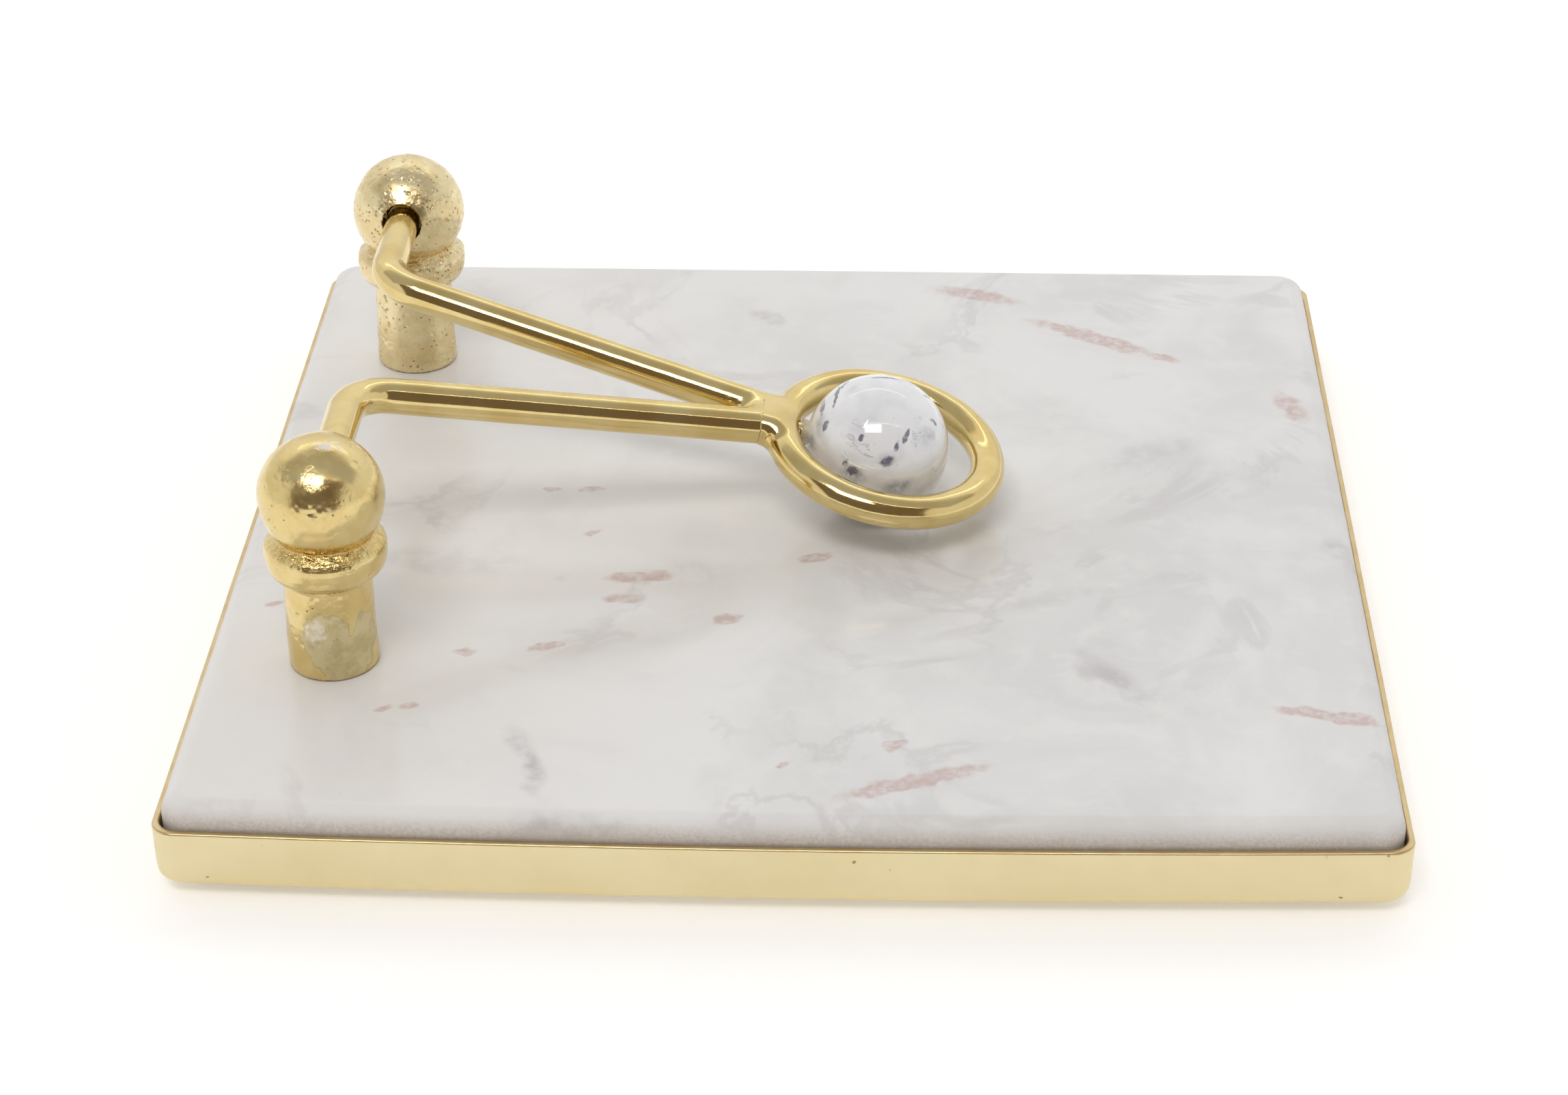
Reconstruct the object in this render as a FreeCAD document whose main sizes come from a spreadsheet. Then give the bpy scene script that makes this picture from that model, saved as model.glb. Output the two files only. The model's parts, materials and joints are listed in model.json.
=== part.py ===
import FreeCAD, Part
import math
import os
import re
import Sketcher

# A square table napkin holder: a marble slab in a shallow gilt tray, two cast posts that end in
# balls, and a swinging arm of round rod whose ring carries a stone ball that weighs the napkins
# down. Millimetres and degrees. The origin is on the table under the middle of the tray, +X runs
# from the posts to the stone ball, +Y from the front to the rear, and +Z up. Every piece of the
# arm is drawn in the arm's own frame: x along the arm from its pivot, y along the pivot, z out
# of the arm's upper side.

SIZES = {
    # feet
    "foot_radius": (6.0, "rubber foot"),
    "foot_height": (1.5, "rubber foot, table to tray"),
    "foot_inset": (16.0, "foot centre from the tray's sides"),
    "foot_edge": (0.4, "rounding of a foot's lower edge"),
    # tray
    "tray_width": (190.0, "over the rim, left to right"),
    "tray_depth": (191.5, "over the rim, front to rear, at the middle of the front"),
    "front_bow": (1.8, "how far the front wall bows out at its middle"),
    "tray_height": (10.5, "underside to rim"),
    "tray_wall": (1.1, "side wall"),
    "tray_floor": (1.4, "floor"),
    "tray_draft": (1.0, "lean of the walls, degrees"),
    "tray_corner": (3.6, "plan corner, outside"),
    "tray_roll": (3.0, "rolled lower edge, outside"),
    "rim_edge": (0.4, "rounding of the rim's two edges"),
    # bedding pad and slab
    "pad_thickness": (1.2, "foam bedding between floor and slab"),
    "pad_margin": (0.4, "bedding edge from the floor's inner fillet"),
    "slab_thickness": (12.0, "marble"),
    "slab_gap": (0.12, "slab to wall, at the slab's underside"),
    "slab_corner": (4.0, "plan corner"),
    "slab_edge": (3.2, "rounding of the top edge"),
    "slab_chamfer": (0.6, "underside edge"),
    # post fixings
    "screw_radius": (2.5, "M5 thread, outside"),
    "screw_length": (20.0, "under the head"),
    "head_radius": (4.75, "button head"),
    "head_height": (2.75, "button head"),
    "socket_flats": (3.0, "hexagon socket across flats"),
    "socket_depth": (1.6, "hexagon socket"),
    "washer_radius": (5.0, "outside"),
    "washer_thickness": (1.0, "flat washer"),
    "hole_clearance": (0.25, "round the screw in washer and slab"),
    "thread_clearance": (0.03, "between the screw and the post's thread"),
    "counterbore_depth": (5.0, "into the slab's underside"),
    "counterbore_clearance": (1.5, "round the washer"),
    "thread_runout": (1.5, "post's thread beyond the screw's tip"),
    # posts
    "post_inset": (22.3, "post axis from the tray's left side"),
    "post_spacing": (104.4, "post axis to post axis"),
    "mechanism_shift": (1.8, "posts and arm behind the tray's middle"),
    "shank_foot": (7.3, "shank radius on the slab"),
    "shank_neck": (7.0, "shank radius under the collar"),
    "collar_bottom": (16.2, "slab top to the collar's underside"),
    "collar_radius": (9.80, "collar's crest"),
    "collar_flare": (1.6, "height of the collar's tapered underside"),
    "collar_band": (4.3, "height of the collar's round edge"),
    "collar_under": (0.55, "crest to the lower end of the round edge"),
    "collar_over": (0.30, "crest to the upper end of the round edge"),
    "collar_round": (5.6, "radius of the collar's round edge"),
    "groove_radius": (7.7, "groove between collar and ball"),
    "post_ball": (10.07, "radius of the post's ball"),
    "post_ball_height": (29.95, "slab top to the ball's centre"),
    # pivot
    "bore_lift": (1.05, "pivot axis above the ball's centre"),
    "bore_depth": (13.0, "from the ball's inner side"),
    "pivot_clearance": (0.07, "round the rod in the bore"),
    "mouth_clearance": (0.52, "round the rod in the worn mouth"),
    "mouth_lift": (0.32, "worn mouth's centre above the pivot axis"),
    "mouth_depth": (4.2, "from the ball's inner side"),
    "tip_gap": (0.4, "rod's tip to the bore's bottom"),
    "tip_chamfer": (0.5, "rod's tip"),
    # arm
    "rod_radius": (2.98, "round rod of the arm"),
    "root_spread": (40.7, "between the rods' lines where they leave the pivot axis"),
    "bend_radius": (8.5, "rod's centreline"),
    "meet_reach": (79.4, "pivot axis to where the rods' lines would cross"),
    "neck_shift": (-1.7, "y where they would cross"),
    "rod_gap": (0.02, "between the rods at the seam"),
    "lug_length": (4.2, "seam to the ring's centreline"),
    "lug_round": (2.4, "rounding along the lug"),
    "braze_length": (6.0, "fill in the crotch of the rods"),
    "braze_rise": (1.9, "half the thickness of the fill"),
    "braze_half": (3.0, "half the width that the fill is cut from"),
    # ring and stone ball
    "ring_tube": (2.95, "radius of the ring's rod"),
    "ring_clearance": (2.55, "ring to stone ball, if they were concentric"),
    "ring_shift": (-2.2, "y of the ring's and the ball's centre"),
    "ring_sink": (0.6, "ring's centre under the rods' plane"),
    "ring_roll": (6.5, "ring's roll about the arm, front side down, degrees"),
    "stone_radius": (12.2, "stone ball"),
    "stone_offset": (1.5, "ball's centre back from the ring's centre"),
    "rest_gap": (0.1, "stone ball to slab at rest"),
    "pin_radius": (1.5, "pin between ring and ball"),
    "pin_depth": (11.0, "pin in the ball"),
    "pin_clearance": (0.03, "round the pin"),
    "pin_chamfer": (0.3, "pin's tip"),
    "bore_spare": (0.8, "ball's bore beyond the pin"),
    "glue_radius": (2.3, "bead of glue round the pin"),
    "glue_gap": (0.02, "glue bead to the ring"),
}

FORMULAS = {
    "tray_top": "foot_height + tray_height",
    "bow_radius": "((tray_width / 2) ^ 2 + front_bow ^ 2) / (2 * front_bow)",
    "bow_centre": "bow_radius - tray_depth / 2",
    "floor_top": "foot_height + tray_floor",
    "floor_inset": "tray_wall + (tray_height - tray_floor) * tan(tray_draft)",
    "pad_inset": "floor_inset + pad_thickness + pad_margin",
    "slab_bottom": "floor_top + pad_thickness",
    "slab_top": "slab_bottom + slab_thickness",
    "slab_inset": "tray_wall + (tray_top - slab_bottom) * tan(tray_draft) + slab_gap",
    "post_x": "post_inset - tray_width / 2",
    "post_front": "mechanism_shift - post_spacing / 2",
    "post_rear": "mechanism_shift + post_spacing / 2",
    "screw_hole": "screw_radius + hole_clearance",
    "seat_height": "slab_bottom + counterbore_depth",
    "head_seat": "seat_height - washer_thickness",
    "screw_tip": "head_seat + screw_length - slab_top",
    "collar_edge": "collar_bottom + collar_flare",
    "groove_height": "post_ball_height - sqrt(post_ball ^ 2 - groove_radius ^ 2)",
    "pivot_rise": "post_ball_height + bore_lift",
    "pivot_height": "slab_top + pivot_rise",
    "tip_reach": "post_spacing / 2 - post_ball + bore_depth - tip_gap",
    "root_half": "root_spread / 2",
    "rod_slant": "atan(root_half / meet_reach)",
    "seam_reach": "meet_reach * (1 - (rod_radius + rod_gap) / (root_half * cos(rod_slant)))",
    "seam_shift": "neck_shift * seam_reach / meet_reach",
    "ring_radius": "stone_radius + ring_clearance + ring_tube",
    "ring_inner": "stone_radius + ring_clearance",
    "tube_reach": "seam_reach + lug_length",
    "ring_reach": "tube_reach + ring_radius",
    "stone_reach": "ring_reach - stone_offset",
    "stone_lever": "sqrt(stone_reach ^ 2 + ring_sink ^ 2)",
    "stone_drop": "pivot_rise - stone_radius - rest_gap",
    "arm_drop": "asin(stone_drop / stone_lever) - atan(ring_sink / stone_reach)",
    "pin_hole": "pin_radius + pin_clearance",
    "pin_tip": "pin_depth - stone_radius",
    "pin_length": "stone_reach + pin_tip - tube_reach",
}

doc = FreeCAD.newDocument("napkin_holder")
sheet = doc.addObject("Spreadsheet::Sheet", "sizes")
for row, (name, (number, note)) in enumerate(SIZES.items(), start=1):
    sheet.set("A%d" % row, name)
    sheet.set("B%d" % row, str(number))
    sheet.set("C%d" % row, note)
    sheet.setAlias("B%d" % row, name)
doc.recompute()


def formula(text):
    """The expression in terms of the sheet's cells."""
    def swap(match):
        word = match.group()
        if word in SIZES:
            return "sizes." + word
        if word in FORMULAS:
            return "(" + formula(FORMULAS[word]) + ")"
        return word
    return re.sub(r"[a-z_]+", swap, text)


def value(text):
    """The expression's number now."""
    result = sheet.evalExpression(formula(text))
    return float(getattr(result, "Value", result))


def bind(item, path, text):
    item.setExpression(path, formula(text))


def add_body(label):
    body = doc.addObject("PartDesign::Body", label)
    body.Label = label
    return body


def place(body, x_text, y_text, z_text):
    for axis, text in (("x", x_text), ("y", y_text), ("z", z_text)):
        bind(body, "Placement.Base." + axis, text)


def place_on_arm(body):
    """Put a body that is drawn in the arm's frame where the resting arm is."""
    body.Placement = FreeCAD.Placement(FreeCAD.Vector(), FreeCAD.Rotation(FreeCAD.Vector(0, 1, 0), 1))
    place(body, "post_x", "mechanism_shift", "pivot_height")
    bind(body, "Placement.Rotation.Angle", "arm_drop")


# ---------------------------------------------------------------- sketches

def add_sketch(body, name, plane, offset=None):
    """A sketch on one of the body's own origin planes, moved along its x, y and z by offset."""
    sketch = body.newObject("Sketcher::SketchObject", name)
    support = [item for item in body.Origin.OriginFeatures if item.Role == plane]
    sketch.AttachmentSupport = [(support[0], "")]
    sketch.MapMode = "FlatFace"
    for axis, text in (offset or {}).items():
        bind(sketch, "AttachmentOffset.Base." + axis, text)
    return sketch


def add_constraint(sketch, text, *definition):
    """A dimension of the sketch, bound to the sheet where text is given."""
    if text is None:
        sketch.addConstraint(Sketcher.Constraint(*definition))
        return
    index = sketch.addConstraint(Sketcher.Constraint(*definition, value(text)))
    bind(sketch, "Constraints[%d]" % index, text)


def fix_point(sketch, geometry, end, x_text, y_text):
    """Hold one end of a piece of geometry at a place in the sketch."""
    for kind, text, axis in (("DistanceX", x_text, -2), ("DistanceY", y_text, -1)):
        if text == "0":
            add_constraint(sketch, None, "PointOnObject", geometry, end, axis)
        else:
            add_constraint(sketch, text, kind, -1, 1, geometry, end)


def arc_between(start, end, radius, turn):
    """The short arc from start to end: turn is 1 anticlockwise, -1 clockwise."""
    chord = end - start
    left = FreeCAD.Vector(-chord.y, chord.x, 0).normalize()
    height = math.sqrt(radius ** 2 - (chord.Length / 2) ** 2)
    centre = (start + end) / 2 + left * height * turn
    first, last = (start, end) if turn > 0 else (end, start)
    angles = [math.atan2(point.y - centre.y, point.x - centre.x) for point in (first, last)]
    if angles[1] < angles[0]:
        angles[1] += 2 * math.pi
    return Part.ArcOfCircle(Part.Circle(centre, FreeCAD.Vector(0, 0, 1), radius), *angles)


def draw_outline(sketch, corners, arcs=None):
    """A closed outline through corners. arcs gives the edges that are round, by the number of
    the corner they leave: radius and turn."""
    arcs = arcs or {}
    points = [FreeCAD.Vector(value(x_text), value(y_text), 0) for x_text, y_text in corners]
    ends = []
    for index, start in enumerate(points):
        end = points[(index + 1) % len(points)]
        if index in arcs:
            radius, turn = arcs[index]
            geometry = sketch.addGeometry(arc_between(start, end, value(radius), turn))
            ends.append((geometry, 1, 2) if turn > 0 else (geometry, 2, 1))
        else:
            ends.append((sketch.addGeometry(Part.LineSegment(start, end)), 1, 2))
    for index, (geometry, near, far) in enumerate(ends):
        following = ends[(index + 1) % len(ends)]
        add_constraint(sketch, None, "Coincident", geometry, far, following[0], following[1])
        fix_point(sketch, geometry, near, *corners[index])
    for index, (radius, turn) in arcs.items():
        add_constraint(sketch, radius, "Radius", ends[index][0])


def draw_circle(sketch, x_text, y_text, radius):
    centre = FreeCAD.Vector(value(x_text), value(y_text), 0)
    circle = Part.Circle(centre, FreeCAD.Vector(0, 0, 1), value(radius))
    geometry = sketch.addGeometry(circle)
    fix_point(sketch, geometry, 3, x_text, y_text)
    add_constraint(sketch, radius, "Radius", geometry)


# ---------------------------------------------------------------- features

def extrude(body, kind, name, sketch, length, flip=False):
    """A PartDesign Pad or Pocket along the sketch's normal, or against it where flip is set."""
    feature = body.newObject("PartDesign::" + kind, name)
    feature.Profile = sketch
    feature.Reversed = flip if kind == "Pad" else not flip
    bind(feature, "Length", length)
    doc.recompute()
    return feature


def revolve(body, name, sketch, axis):
    feature = body.newObject("PartDesign::Revolution", name)
    feature.Profile = sketch
    feature.ReferenceAxis = (sketch, [axis])
    feature.Angle = 360
    doc.recompute()
    return feature


def dress(body, kind, name, base, size, test):
    """A PartDesign Fillet or Chamfer on the edges of base that pass the test."""
    names = []
    for number, edge in enumerate(base.Shape.Edges, start=1):
        if test(edge.BoundBox):
            names.append("Edge%d" % number)
    feature = body.newObject("PartDesign::" + kind, name)
    feature.Base = (base, names)
    bind(feature, "Radius" if kind == "Fillet" else "Size", size)
    doc.recompute()
    return feature


NEAR = 1e-3


def edge_at(axis, text):
    """A test for edges that lie in one plane: x, y or z equal to a size."""
    level = value(text)
    low, high = axis.upper() + "Min", axis.upper() + "Max"
    return lambda box: abs(getattr(box, low) - level) < NEAR and abs(getattr(box, high) - level) < NEAR


def upright(low_text, high_text):
    """A test for edges and faces that climb from one height to another."""
    low, high = value(low_text), value(high_text)
    return lambda box: abs(box.ZMin - low) < NEAR and abs(box.ZMax - high) < NEAR


def lean(body, name, base, low_text, high_text, angle):
    """A PartDesign Draft on the walls that climb from one height to another: they pivot about
    their top edges and close in towards the bottom."""
    climbs = upright(low_text, high_text)
    high = value(high_text)
    walls = []
    for number, face in enumerate(base.Shape.Faces, start=1):
        if climbs(face.BoundBox):
            walls.append("Face%d" % number)
        elif face.BoundBox.ZMin > high - NEAR:
            rim = "Face%d" % number
    feature = body.newObject("PartDesign::Draft", name)
    feature.Base = (base, walls)
    feature.NeutralPlane = (base, [rim])
    feature.Reversed = True
    bind(feature, "Angle", angle)
    doc.recompute()
    return feature


# ---------------------------------------------------------------- base

def plan_half(inset):
    return "(tray_width / 2 - (%s))" % inset


def plan_rear(inset):
    return "(tray_depth / 2 - (%s))" % inset


def plan_bow(inset):
    return "(bow_radius - (%s))" % inset


def plan_front(inset):
    """The y of the plan's two front corners."""
    return "(bow_centre - sqrt(%s ^ 2 - %s ^ 2))" % (plan_bow(inset), plan_half(inset))


def draw_plan(sketch, inset):
    """The tray's plan, moved inwards by inset: straight sides and a bowed front."""
    half, rear, front = plan_half(inset), plan_rear(inset), plan_front(inset)
    corners = [("-" + half, front), (half, front), (half, rear), ("-" + half, rear)]
    draw_outline(sketch, corners, {0: (plan_bow(inset), 1)})


def make_tray():
    body = add_body("tray")
    outside = add_sketch(body, "tray_plan", "XY_Plane", {"z": "tray_top"})
    draw_plan(outside, "0")
    block = extrude(body, "Pad", "tray_block", outside, "tray_height", flip=True)
    leaning = lean(body, "tray_lean", block, "foot_height", "tray_top", "tray_draft")
    inside = add_sketch(body, "tray_well_plan", "XY_Plane", {"z": "tray_top"})
    draw_plan(inside, "tray_wall")
    well = extrude(body, "Pocket", "tray_well", inside, "tray_height - tray_floor", flip=True)
    basin = lean(body, "tray_well_lean", well, "floor_top", "tray_top", "tray_draft")
    well_corners = dress(body, "Fillet", "tray_well_corners", basin, "tray_corner - tray_wall",
                         upright("floor_top", "tray_top"))
    corners = dress(body, "Fillet", "tray_corners", well_corners, "tray_corner",
                    upright("foot_height", "tray_top"))
    roll = dress(body, "Fillet", "tray_lower_edge", corners, "tray_roll",
                 edge_at("z", "foot_height"))
    floor = dress(body, "Fillet", "tray_well_floor", roll, "pad_thickness",
                  edge_at("z", "floor_top"))
    dress(body, "Fillet", "tray_rim", floor, "rim_edge", edge_at("z", "tray_top"))
    return body


def make_bedding_pad():
    body = add_body("bedding_pad")
    plan = add_sketch(body, "pad_plan", "XY_Plane", {"z": "floor_top"})
    draw_plan(plan, "pad_inset")
    sheet_pad = extrude(body, "Pad", "pad_sheet", plan, "pad_thickness")
    dress(body, "Fillet", "pad_corners", sheet_pad, "slab_corner",
          upright("floor_top", "slab_bottom"))
    return body


def make_slab():
    body = add_body("marble_slab")
    plan = add_sketch(body, "slab_plan", "XY_Plane", {"z": "slab_bottom"})
    draw_plan(plan, "slab_inset")
    block = extrude(body, "Pad", "slab_block", plan, "slab_thickness")
    corners = dress(body, "Fillet", "slab_corners", block, "slab_corner",
                    upright("slab_bottom", "slab_top"))
    top = dress(body, "Fillet", "slab_top_edge", corners, "slab_edge", edge_at("z", "slab_top"))
    dress(body, "Chamfer", "slab_lower_edge", top, "slab_chamfer", edge_at("z", "slab_bottom"))
    holes = add_sketch(body, "slab_hole_plan", "XY_Plane", {"z": "slab_bottom"})
    seats = add_sketch(body, "slab_seat_plan", "XY_Plane", {"z": "slab_bottom"})
    for y_text in ("post_front", "post_rear"):
        draw_circle(holes, "post_x", y_text, "screw_hole")
        draw_circle(seats, "post_x", y_text, "washer_radius + counterbore_clearance")
    extrude(body, "Pocket", "slab_holes", holes, "slab_thickness + slab_edge")
    extrude(body, "Pocket", "slab_seats", seats, "counterbore_depth")
    return body


def make_foot(label, side, end):
    body = add_body(label)
    plan = add_sketch(body, label + "_plan", "XY_Plane")
    draw_circle(plan, "0", "0", "foot_radius")
    disc = extrude(body, "Pad", label + "_disc", plan, "foot_height")
    dress(body, "Fillet", label + "_edge", disc, "foot_edge", edge_at("z", "0"))
    place(body, "%d * (tray_width / 2 - foot_inset)" % side,
          "%d * (tray_depth / 2 - foot_inset)" % end, "0")
    return body


def make_washer(label, y_text):
    body = add_body(label)
    plan = add_sketch(body, label + "_plan", "XY_Plane")
    draw_circle(plan, "0", "0", "washer_radius")
    draw_circle(plan, "0", "0", "screw_hole")
    extrude(body, "Pad", label + "_disc", plan, "washer_thickness")
    place(body, "post_x", y_text, "head_seat")
    return body


def make_screw(label, y_text):
    """A button-head screw, drawn head down with its seat at z 0."""
    body = add_body(label)
    half = add_sketch(body, label + "_half", "XZ_Plane")
    draw_outline(half, [
        ("0", "-head_height"),
        ("head_radius / 2", "-head_height"),
        ("head_radius", "-head_height / 4"),
        ("head_radius", "0"),
        ("screw_radius", "0"),
        ("screw_radius", "screw_length - screw_radius / 4"),
        ("screw_radius * 3 / 4", "screw_length"),
        ("0", "screw_length"),
    ], {1: ("head_radius", 1)})
    revolve(body, label + "_turned", half, "V_Axis")
    socket = add_sketch(body, label + "_socket_plan", "XY_Plane", {"z": "-head_height"})
    reach = "socket_flats / sqrt(3)"
    flat = "socket_flats / 2"
    hexagon = [
        (reach, "0"),
        (reach + " / 2", flat),
        ("-" + reach + " / 2", flat),
        ("-" + reach, "0"),
        ("-" + reach + " / 2", "-" + flat),
        (reach + " / 2", "-" + flat),
    ]
    draw_outline(socket, hexagon)
    extrude(body, "Pocket", label + "_socket", socket, "socket_depth")
    place(body, "post_x", y_text, "head_seat")
    return body


def make_group(label, members):
    group = doc.addObject("Part::Compound", label)
    group.Label = label
    group.Links = members
    return group


def make_post(label, y_text, turn):
    """A one-piece post, drawn with its bore towards +y."""
    body = add_body(label)
    half = add_sketch(body, label + "_half", "XZ_Plane")
    draw_outline(half, [
        ("0", "0"),
        ("shank_foot", "0"),
        ("shank_neck", "collar_bottom"),
        ("collar_radius - collar_under", "collar_edge"),
        ("collar_radius - collar_over", "collar_edge + collar_band"),
        ("groove_radius", "groove_height"),
        ("0", "post_ball_height + post_ball"),
    ], {3: ("collar_round", 1), 5: ("post_ball", 1)})
    revolve(body, label + "_turned", half, "V_Axis")
    bore = add_sketch(body, label + "_bore_plan", "XZ_Plane", {"z": "bore_depth - post_ball"})
    draw_circle(bore, "0", "pivot_rise", "rod_radius + pivot_clearance")
    extrude(body, "Pocket", label + "_bore", bore, "bore_depth + rod_radius", flip=True)
    mouth = add_sketch(body, label + "_mouth_plan", "XZ_Plane", {"z": "mouth_depth - post_ball"})
    draw_circle(mouth, "0", "pivot_rise + mouth_lift", "rod_radius + mouth_clearance")
    extrude(body, "Pocket", label + "_mouth", mouth, "mouth_depth + rod_radius", flip=True)
    thread = add_sketch(body, label + "_thread_plan", "XY_Plane")
    draw_circle(thread, "0", "0", "screw_radius + thread_clearance")
    extrude(body, "Pocket", label + "_thread", thread, "screw_tip + thread_runout")
    body.Placement.Rotation = FreeCAD.Rotation(FreeCAD.Vector(0, 0, 1), turn)
    place(body, "post_x", y_text, "slab_top")
    return body


# ---------------------------------------------------------------- arm

def draw_rod_path(sketch, side):
    """From the tip in the bore, along the pivot, round the bend and past the seam."""
    signed = "%d * " % side
    root = FreeCAD.Vector(0, value(signed + "root_half"), 0)
    meet = FreeCAD.Vector(value("meet_reach"), value("neck_shift"), 0)
    tip = FreeCAD.Vector(0, value(signed + "tip_reach"), 0)
    along = (meet - root).normalize()
    outward = FreeCAD.Vector(0, side, 0)
    half_turn = along.getAngle(outward) / 2
    radius = value("bend_radius")
    setback = radius / math.tan(half_turn)
    bend_start = root + outward * setback
    bend_end = root + along * setback
    far = root + along * (value("seam_reach + 2 * rod_radius") / along.x)
    leg = sketch.addGeometry(Part.LineSegment(tip, bend_start))
    bend = sketch.addGeometry(arc_between(bend_start, bend_end, radius, side))
    run = sketch.addGeometry(Part.LineSegment(bend_end, far))
    line = sketch.addGeometry(Part.LineSegment(root, meet), True)
    bend_near, bend_far = (1, 2) if side > 0 else (2, 1)
    fix_point(sketch, leg, 1, "0", signed + "tip_reach")
    add_constraint(sketch, None, "PointOnObject", leg, 2, -2)
    fix_point(sketch, line, 1, "0", signed + "root_half")
    fix_point(sketch, line, 2, "meet_reach", "neck_shift")
    add_constraint(sketch, None, "Tangent", leg, 2, bend, bend_near)
    add_constraint(sketch, None, "Tangent", bend, bend_far, run, 1)
    add_constraint(sketch, None, "PointOnObject", run, 1, line)
    add_constraint(sketch, None, "PointOnObject", run, 2, line)
    add_constraint(sketch, "bend_radius", "Radius", bend)
    add_constraint(sketch, "seam_reach + 2 * rod_radius", "DistanceX", -1, 1, run, 2)


def make_rod(label, side):
    """One half of the arm: side is -1 at the front, 1 at the rear."""
    body = add_body(label)
    path = add_sketch(body, label + "_path", "XY_Plane")
    draw_rod_path(path, side)
    section = add_sketch(body, label + "_section", "XZ_Plane", {"z": "%d * tip_reach" % -side})
    draw_circle(section, "0", "0", "rod_radius")
    pipe = body.newObject("PartDesign::AdditivePipe", label + "_bar")
    pipe.Profile = section
    pipe.Spine = (path, ["Edge1", "Edge2", "Edge3"])
    doc.recompute()
    seam = add_sketch(body, label + "_seam_plan", "XY_Plane", {"z": "-2 * rod_radius"})
    draw_outline(seam, [
        ("seam_reach", "-root_spread"),
        ("2 * meet_reach", "-root_spread"),
        ("2 * meet_reach", "root_spread"),
        ("seam_reach", "root_spread"),
    ])
    cut = extrude(body, "Pocket", label + "_seam", seam, "4 * rod_radius")
    dress(body, "Chamfer", label + "_tip", cut, "tip_chamfer",
          edge_at("y", "%d * tip_reach" % side))
    place_on_arm(body)
    return body


def make_ring():
    """The ring and, cast with it, the lug that the two rods butt against."""
    body = add_body("ring")
    plan = add_sketch(body, "lug_plan", "XY_Plane", {"z": "-rod_radius"})
    draw_outline(plan, [
        ("seam_reach", "seam_shift - 2 * rod_radius"),
        ("tube_reach", "ring_shift - 2 * rod_radius"),
        ("tube_reach", "ring_shift + 2 * rod_radius"),
        ("seam_reach", "seam_shift + 2 * rod_radius"),
    ])
    lug = extrude(body, "Pad", "lug_block", plan, "2 * rod_radius")
    outer = value("rod_radius")
    dress(body, "Fillet", "lug_edges", lug, "lug_round",
          lambda box: box.XLength > outer and abs(abs(box.ZMin) - outer) < NEAR)
    section = add_sketch(body, "ring_section", "XZ_Plane",
                         {"x": "ring_reach", "y": "-ring_sink", "z": "-ring_shift"})
    section.AttachmentOffset.Rotation = FreeCAD.Rotation(FreeCAD.Vector(1, 0, 0), 1)
    bind(section, "AttachmentOffset.Rotation.Angle", "ring_roll")
    draw_circle(section, "-ring_radius", "0", "ring_tube")
    revolve(body, "ring_hoop", section, "V_Axis")
    hole = add_sketch(body, "ring_pin_hole_plan", "YZ_Plane", {"z": "tube_reach"})
    draw_circle(hole, "ring_shift", "-ring_sink", "pin_hole")
    extrude(body, "Pocket", "ring_pin_hole", hole, "ring_tube + ring_clearance")
    place_on_arm(body)
    return body


def make_braze(rods):
    """Brazing metal in the crotch between the two rods, just short of the seam."""
    blank = add_body("neck_braze_blank")
    plan = add_sketch(blank, "braze_plan", "XY_Plane", {"z": "-braze_rise"})
    start, end = "seam_reach - braze_length", "seam_reach - rod_radius / 4"
    draw_outline(plan, [
        (start, "seam_shift - braze_half"),
        (end, "seam_shift - braze_half"),
        (end, "seam_shift + braze_half"),
        (start, "seam_shift + braze_half"),
    ])
    extrude(blank, "Pad", "braze_block", plan, "2 * braze_rise")
    place_on_arm(blank)
    left = blank
    for number, rod in enumerate(rods):
        cut = doc.addObject("Part::Cut", "neck_braze_cut_%d" % number)
        cut.Base = left
        cut.Tool = rod
        left = cut
    left.Label = "neck_braze"
    return left


def make_pin():
    body = add_body("ball_pin")
    plan = add_sketch(body, "pin_plan", "YZ_Plane", {"z": "tube_reach"})
    draw_circle(plan, "ring_shift", "-ring_sink", "pin_radius")
    shaft = extrude(body, "Pad", "pin_shaft", plan, "pin_length")
    dress(body, "Chamfer", "pin_tip", shaft, "pin_chamfer", edge_at("x", "tube_reach + pin_length"))
    place_on_arm(body)
    return body


def add_ball_sketch(body, name):
    """A sketch centred on the stone ball, with its x along the pin."""
    return add_sketch(body, name, "XY_Plane",
                      {"x": "stone_reach", "y": "ring_shift", "z": "-ring_sink"})


def make_stone_ball():
    body = add_body("stone_ball")
    half = add_ball_sketch(body, "stone_half")
    draw_outline(half, [
        ("stone_radius", "0"),
        ("-sqrt(stone_radius ^ 2 - pin_hole ^ 2)", "pin_hole"),
        ("pin_tip + bore_spare", "pin_hole"),
        ("pin_tip + bore_spare", "0"),
    ], {0: ("stone_radius", 1)})
    revolve(body, "stone_turned", half, "H_Axis")
    place_on_arm(body)
    return body


def make_glue():
    """The bead of clear glue round the pin, between the ring and the ball."""
    body = add_body("pin_glue")
    half = add_ball_sketch(body, "glue_half")
    ring_side = "stone_offset - sqrt(ring_inner ^ 2 - glue_radius ^ 2) + glue_gap"
    draw_outline(half, [
        (ring_side, "pin_hole"),
        ("-sqrt(stone_radius ^ 2 - pin_hole ^ 2)", "pin_hole"),
        ("-sqrt(stone_radius ^ 2 - glue_radius ^ 2)", "glue_radius"),
        (ring_side, "glue_radius"),
    ], {1: ("stone_radius", -1)})
    revolve(body, "glue_turned", half, "H_Axis")
    place_on_arm(body)
    return body


# ---------------------------------------------------------------- assembly

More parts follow.
